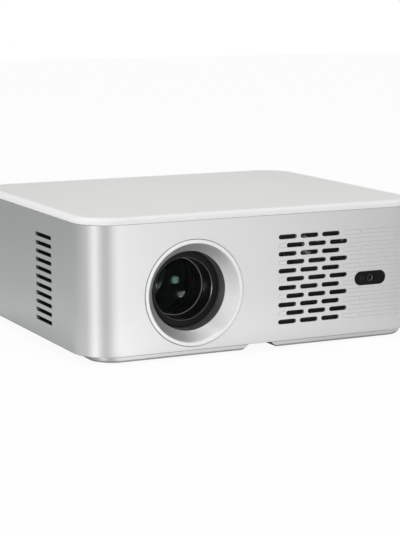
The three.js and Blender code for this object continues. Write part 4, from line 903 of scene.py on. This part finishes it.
# %% Feet and power button
for node in ["foot_front_left", "foot_front_right", "foot_rear_left", "foot_rear_right"]:
    low, high = node_box(node)
    x, y = (low[:2] + high[:2]) / 2
    pad = np.concatenate([
        [[0.0, 0.35], [5.2, 0.3], [6.6, 0.0], [7.9, 0.0]],
        arc(8.2, 0.8, 0.8, -80, 0, 6),
        [[9.0, high[2] - 0.3], [8.7, high[2]], [0.0, high[2]]],
    ])
    foot = turned(node + "_pad", pad, (x, y, 0), "z", 72, closed=False)
    finish_piece(foot, "case", [node], [RUBBER], angle=40)
low, high = node_box("power_button")
x, _, z = (low + high) / 2
cap = np.concatenate([
    [[0.0, low[1]], [2.0, low[1]], [2.0, 104.4], [7.0, 104.4], [7.0, 105.4], [5.5, 105.4]],
    arc(5.0, 110.1, 0.5, 0, 90, 5),
    [[4.4, 110.5], [3.0, 110.2], [0.0, 110.1]],
])
button = turned("power_button_cap", cap, (x, 0, z), "y", 64, closed=False)
finish_piece(button, "button", ["power_button"], [SATIN_CONE], angle=35)

# %% [markdown]
# The studio is plain: a pale floor, a white surround, and three large soft boxes at an even level. The
# surround is white to the eye and in reflections, but lights the object only as a soft grey sky, and
# the floor is the same white paper with the object's faint shadow kept on it. Seen from below the
# floor is clear, so that the underside can be looked at too.

# %% Floor and surround
def ray_share(tree):
    """One for what the camera, a mirror or a glass sees directly, and nought for scattered light."""
    path = add_node(tree, "LightPath").outputs
    seen = calculated(tree, "MAXIMUM", path["Is Camera Ray"], path["Is Glossy Ray"])
    return calculated(tree, "MAXIMUM", seen, path["Is Transmission Ray"], clamp=True)


world = bpy.data.worlds.new("white surround")
world.use_nodes = True
bpy.context.scene.world = world
tree = world.node_tree
sky = tree.nodes["Background"].inputs
sky["Color"].default_value = (1, 1, 1, 1)
strength = add_node(tree, "Mix", {"Factor": ray_share(tree), "A": 0.5, "B": 1.0}, data_type="FLOAT")
tree.links.new(strength.outputs["Result"], sky["Strength"])

floor_mesh = bpy.data.meshes.new("studio_floor")
floor_mesh.from_pydata([(-4, -4, 0), (4, -4, 0), (4, 4, 0), (-4, 4, 0)], [], [(0, 1, 2, 3)])
floor = put("studio_floor", floor_mesh)
paper = bpy.data.materials.new("white paper floor")
paper.use_nodes = True
tree = paper.node_tree
matte = tree.nodes["Principled BSDF"]
matte.inputs["Base Color"].default_value = (0.92, 0.92, 0.92, 1)
matte.inputs["Roughness"].default_value = 0.9
white = add_node(tree, "Emission", {"Color": (1, 1, 1, 1)})
shadow_kept = 0.06
share = calculated(tree, "MULTIPLY", ray_share(tree), 1 - shadow_kept)
blend = {"Fac": share, 1: matte.outputs["BSDF"], 2: white.outputs["Emission"]}
above = add_node(tree, "MixShader", blend).outputs["Shader"]
below = add_node(tree, "BsdfTransparent").outputs["BSDF"]
back = add_node(tree, "NewGeometry").outputs["Backfacing"]
sides = add_node(tree, "MixShader", {"Fac": back, 1: above, 2: below})
tree.links.new(sides.outputs["Shader"], tree.nodes["Material Output"].inputs["Surface"])
floor_mesh.materials.append(paper)
print("floor and surround are white to the camera")

# %% [markdown]
# Three soft boxes light the machine: one from its left, one overhead, one in front. The coated glass
# of the lens mirrors hardly anything in real life, so the boxes leave its two elements out. Every
# lamp is placed by the direction and the distance in which it stands from its target.

# %% Soft boxes
coated = bpy.data.collections.new("coated glass mirrors next to nothing")
for element in (front_glass, rear_glass):
    coated.objects.link(element)
for entry in coated.collection_objects:
    entry.light_linking.link_state = "EXCLUDE"


def area_light(name, start, direction, distance, size, power, lit, target):
    """A rectangular light at a distance from a start, in a direction of azimuth and elevation. It
    faces the target and lights what the collection names. Azimuth 0 is in front of the lens side,
    and it grows towards the right-hand side."""
    data = bpy.data.lights.new(name, "AREA")
    data.shape, (data.size, data.size_y), data.energy = "RECTANGLE", size, power
    light = put(name, data)
    a, e = radians(direction[0]), radians(direction[1])
    light.location = Vector(start) + Vector((sin(a) * cos(e), -cos(a) * cos(e), sin(e))) * distance
    light.rotation_euler = (Vector(target) - light.location).to_track_quat("-Z", "Y").to_euler()
    light.light_linking.receiver_collection = lit
    return light


SOFT_BOXES = {  # azimuth and elevation; distance; width and height; power
    "soft_box_left": ((-80, 25), 1.6, (0.9, 1.0), 6.6),
    "soft_box_top": ((-20, 82), 1.6, (1.5, 1.5), 8.2),
    "soft_box_front": ((8, 24), 2.0, (1.2, 0.9), 4.6),
}
for name, values in SOFT_BOXES.items():
    area_light(name, (0, 0, 0), *values, coated, target=(0, 0, 0.05))
print(len(SOFT_BOXES), "soft boxes")

# %% [markdown]
# Polished glass gives a window back as a tiny sharp picture of it. Three small lights stand where the
# curved lens mirrors them towards the picture's camera, and a fourth catches the lighter rim of the
# barrel. Each is linked to the piece that it glints in, so it lights nothing else.

# %% Small lights for the glints in the lens
only_lens = bpy.data.collections.new("only the front element")
only_lens.objects.link(front_glass)
only_barrel = bpy.data.collections.new("only the barrel")
only_barrel.objects.link(barrel)
GLINTS = [  # point; azimuth and elevation; distance; width and height; radiance; colour; what it lights
    ((-53.6, -80.9, 50.5), (23.2, -3.5), 105, (16, 14), 72, (0.6, 1.0, 0.82), only_lens),
    ((-66.6, -79.6, 47.5), (2.7, -8.0), 105, (14, 13), 44, (0.9, 1.0, 1.0), only_lens),
    ((-48.8, -80.6, 39.6), (32.0, -18.6), 70, (12, 9.5), 60, (0.9, 1.0, 1.0), only_lens),
    ((-30.4, -91.9, 45.0), (-53, -2), 105, (12, 8), 1600, (1.0, 1.0, 1.0), only_barrel),
]
for number, (place, direction, distance, size, radiance, tint, lit) in enumerate(GLINTS):
    place, size = Vector(place) * MM, np.array(size) * MM
    power = radiance * pi * float(size.prod())
    light = area_light(f"glint_{number + 1}", place, direction, distance * MM, size, power, lit, place)
    light.data.color = tint
    light.visible_camera = light.visible_diffuse = light.visible_transmission = False
print(len(GLINTS), "glints")

# %% [markdown]
# Silver has hardly a look of its own: it shows what stands around it. A photographer therefore sets a
# screen of paper round such a machine and shades it, and the soft bands along the rounded corner are
# the screen's shades, not paint. Here the screen is one round sheet with a foot. Each point holds a
# tone that follows from its direction and its height, dark and even right under the machine, where
# the dark is a painted shadow of the machine. The foot carries the shades on towards the walls along
# the lines of sight that the walls mirror, so that the bands run straight down the wall. Only
# mirroring surfaces see the screen.
#
# The tones are fitted to the picture. From -120 to 41 degrees they began as the brightness of the
# silver along one row of it, followed back along the mirrored lines of sight, and were then moved by
# hand over trial renders, as were the shares for each height. So this light belongs to the picture's
# camera: from other sides the bands fall where they fall.

# %% The shaded paper screen
SCREEN_TONES = [
    (-180, 0.6), (-165, 0.45), (-150, 0.3), (-120, 0.28), (-95, 0.32), (-80, 0.38), (-72, 0.42),
    (-64, 0.5), (-57.5, 0.98), (-53, 1.16), (-48, 0.7), (-42, 0.47), (-37, 0.56), (-31, 0.86),
    (-24, 1.06), (-14, 1.1), (-8, 0.95), (13, 0.86), (30, 0.71), (41, 0.59), (60, 0.6), (75, 0.95),
    (100, 0.8), (130, 0.6), (160, 0.8), (180, 0.6),
]
# The small shares in the first rows darken the foot under and close by the machine: a painted shadow.
ROWS_OUT = [  # how far out: a share of the footprint, then millimetres; height; share of the tone
    (0.02, 0, 0.2, 0.08), (0.94, 0, 0.2, 0.3), (1.0, 0, 0.2, 0.4), (1.04, 0, 0.2, 0.65),
    (1.08, 0, 0.2, 0.82), (0.72, 63.3, 0.25, 1.0), (0.36, 126.7, 0.3, 1.1), (0, 190, 0.4, 1.15),
    (0, 215, 0.6, 1.12), (0, 232, 3, 1.06), (0, 240, 15, 1.0), (0, 240, 60, 0.98), (0, 240, 110, 0.93),
    (0, 240, 420, 0.93),
]


def wall_run():
    """Points along the left wall, the near corner, the front wall and the far corner, with the way
    each faces: a corner point is its arc's centre plus the sine and cosine of its turn times the
    corner's radius."""
    x, y = SIDE - CORNER, BACK - CORNER
    turn = [np.full(30, -90.0), np.linspace(-90, 0, 60), np.linspace(0, 50, 20)]
    turn = np.radians(np.concatenate(turn))
    facing = np.stack([np.sin(turn), -np.cos(turn)], -1)
    middle = np.concatenate([
        np.stack([np.full(30, -x), np.linspace(y, -y, 30)], -1),
        np.full((60, 2), (-x, -y)),
        np.full((20, 2), (x, -y)),
    ])
    return middle + CORNER * facing, facing


def turns_on_rings(rings):
    """For each ring round the machine, the turns at which it meets the lines of sight that the walls
    mirror. A line starts at a wall point s and runs along d, the sight line reflected about the way
    the wall faces, and it meets the ring where the length of s + t d is the ring's radius. Close to
    the wall some turns would step back, so each is at least as large as the one before."""
    s, facing = wall_run()
    sight = np.array(camera.location)[:2] / MM - s
    sight /= np.linalg.norm(sight, axis=1)[:, None]
    d = 2 * (facing * sight).sum(1)[:, None] * facing - sight
    along, far = (s * d).sum(1), np.linalg.norm(s, axis=1)
    ring = np.array([np.maximum(share * far + reach, far) for share, reach in rings])
    t = np.sqrt(along ** 2 - far ** 2 + ring ** 2) - along
    met = s + t[..., None] * d
    turns = np.degrees(np.arctan2(met[..., 0], -met[..., 1]))
    ends = np.full((len(rings), 1), 180.0)
    return np.concatenate([-ends, np.maximum.accumulate(turns, 1), ends], 1)


angle = np.radians(np.linspace(-180, 180, 241)[:-1])
footprint = (np.abs(np.sin(angle) / SIDE) ** 10 + np.abs(np.cos(angle) / BACK) ** 10) ** -0.1
share_out, reach, height, keep = (column[:, None] for column in np.array(ROWS_OUT).T)
radius = share_out * footprint + reach
screen_points = np.stack([radius * np.sin(angle), -radius * np.cos(angle), height + 0 * angle], -1)
stops, shades = np.array(SCREEN_TONES).T
turns = turns_on_rings([row[:2] for row in ROWS_OUT])
carried_on = np.stack([np.interp(np.degrees(angle), row, turns[-1]) for row in turns])
behind = np.clip((-60 - carried_on) / 20, 0, 1)
tone = np.interp(carried_on, stops, shades) + behind * np.clip(1 - height / 60, 0, 1) * 0.1
# Under the machine the tone is evened, and the small shares darken it there: a painted shadow.
outside = np.clip(radius / footprint * 5 - 4.2, 0, 1)
tone = (tone * outside + 0.7 * (1 - outside)) * keep
screen_mesh = bpy.data.meshes.new("paper_screen")
points, faces = many_grids(screen_points[None])
screen_mesh.from_pydata((points * MM).tolist(), [], faces)
shade = screen_mesh.color_attributes.new("shade", "FLOAT_COLOR", "POINT")
colour = np.stack([tone * (1 - 0.03 * behind), tone * (1 + 0.03 * behind), tone, np.ones_like(tone)], -1)
shade.data.foreach_set("color", colour.reshape(-1).astype(np.float32))
screen = put("paper_screen", screen_mesh)
screen.visible_camera = screen.visible_diffuse = screen.visible_shadow = False
screen.visible_transmission = screen.visible_volume_scatter = False
shaded = bpy.data.materials.new("shaded paper")
shaded.use_nodes = True
tree = shaded.node_tree
shades_read = add_node(tree, "VertexColor", layer_name="shade").outputs["Color"]
glow = add_node(tree, "Emission", {"Color": shades_read})
tree.links.new(glow.outputs["Emission"], tree.nodes["Material Output"].inputs["Surface"])
screen_mesh.materials.append(shaded)
screen.light_linking.receiver_collection = coated
print("screen tones from", round(float(tone.min()), 2), "to", round(float(tone.max()), 2))
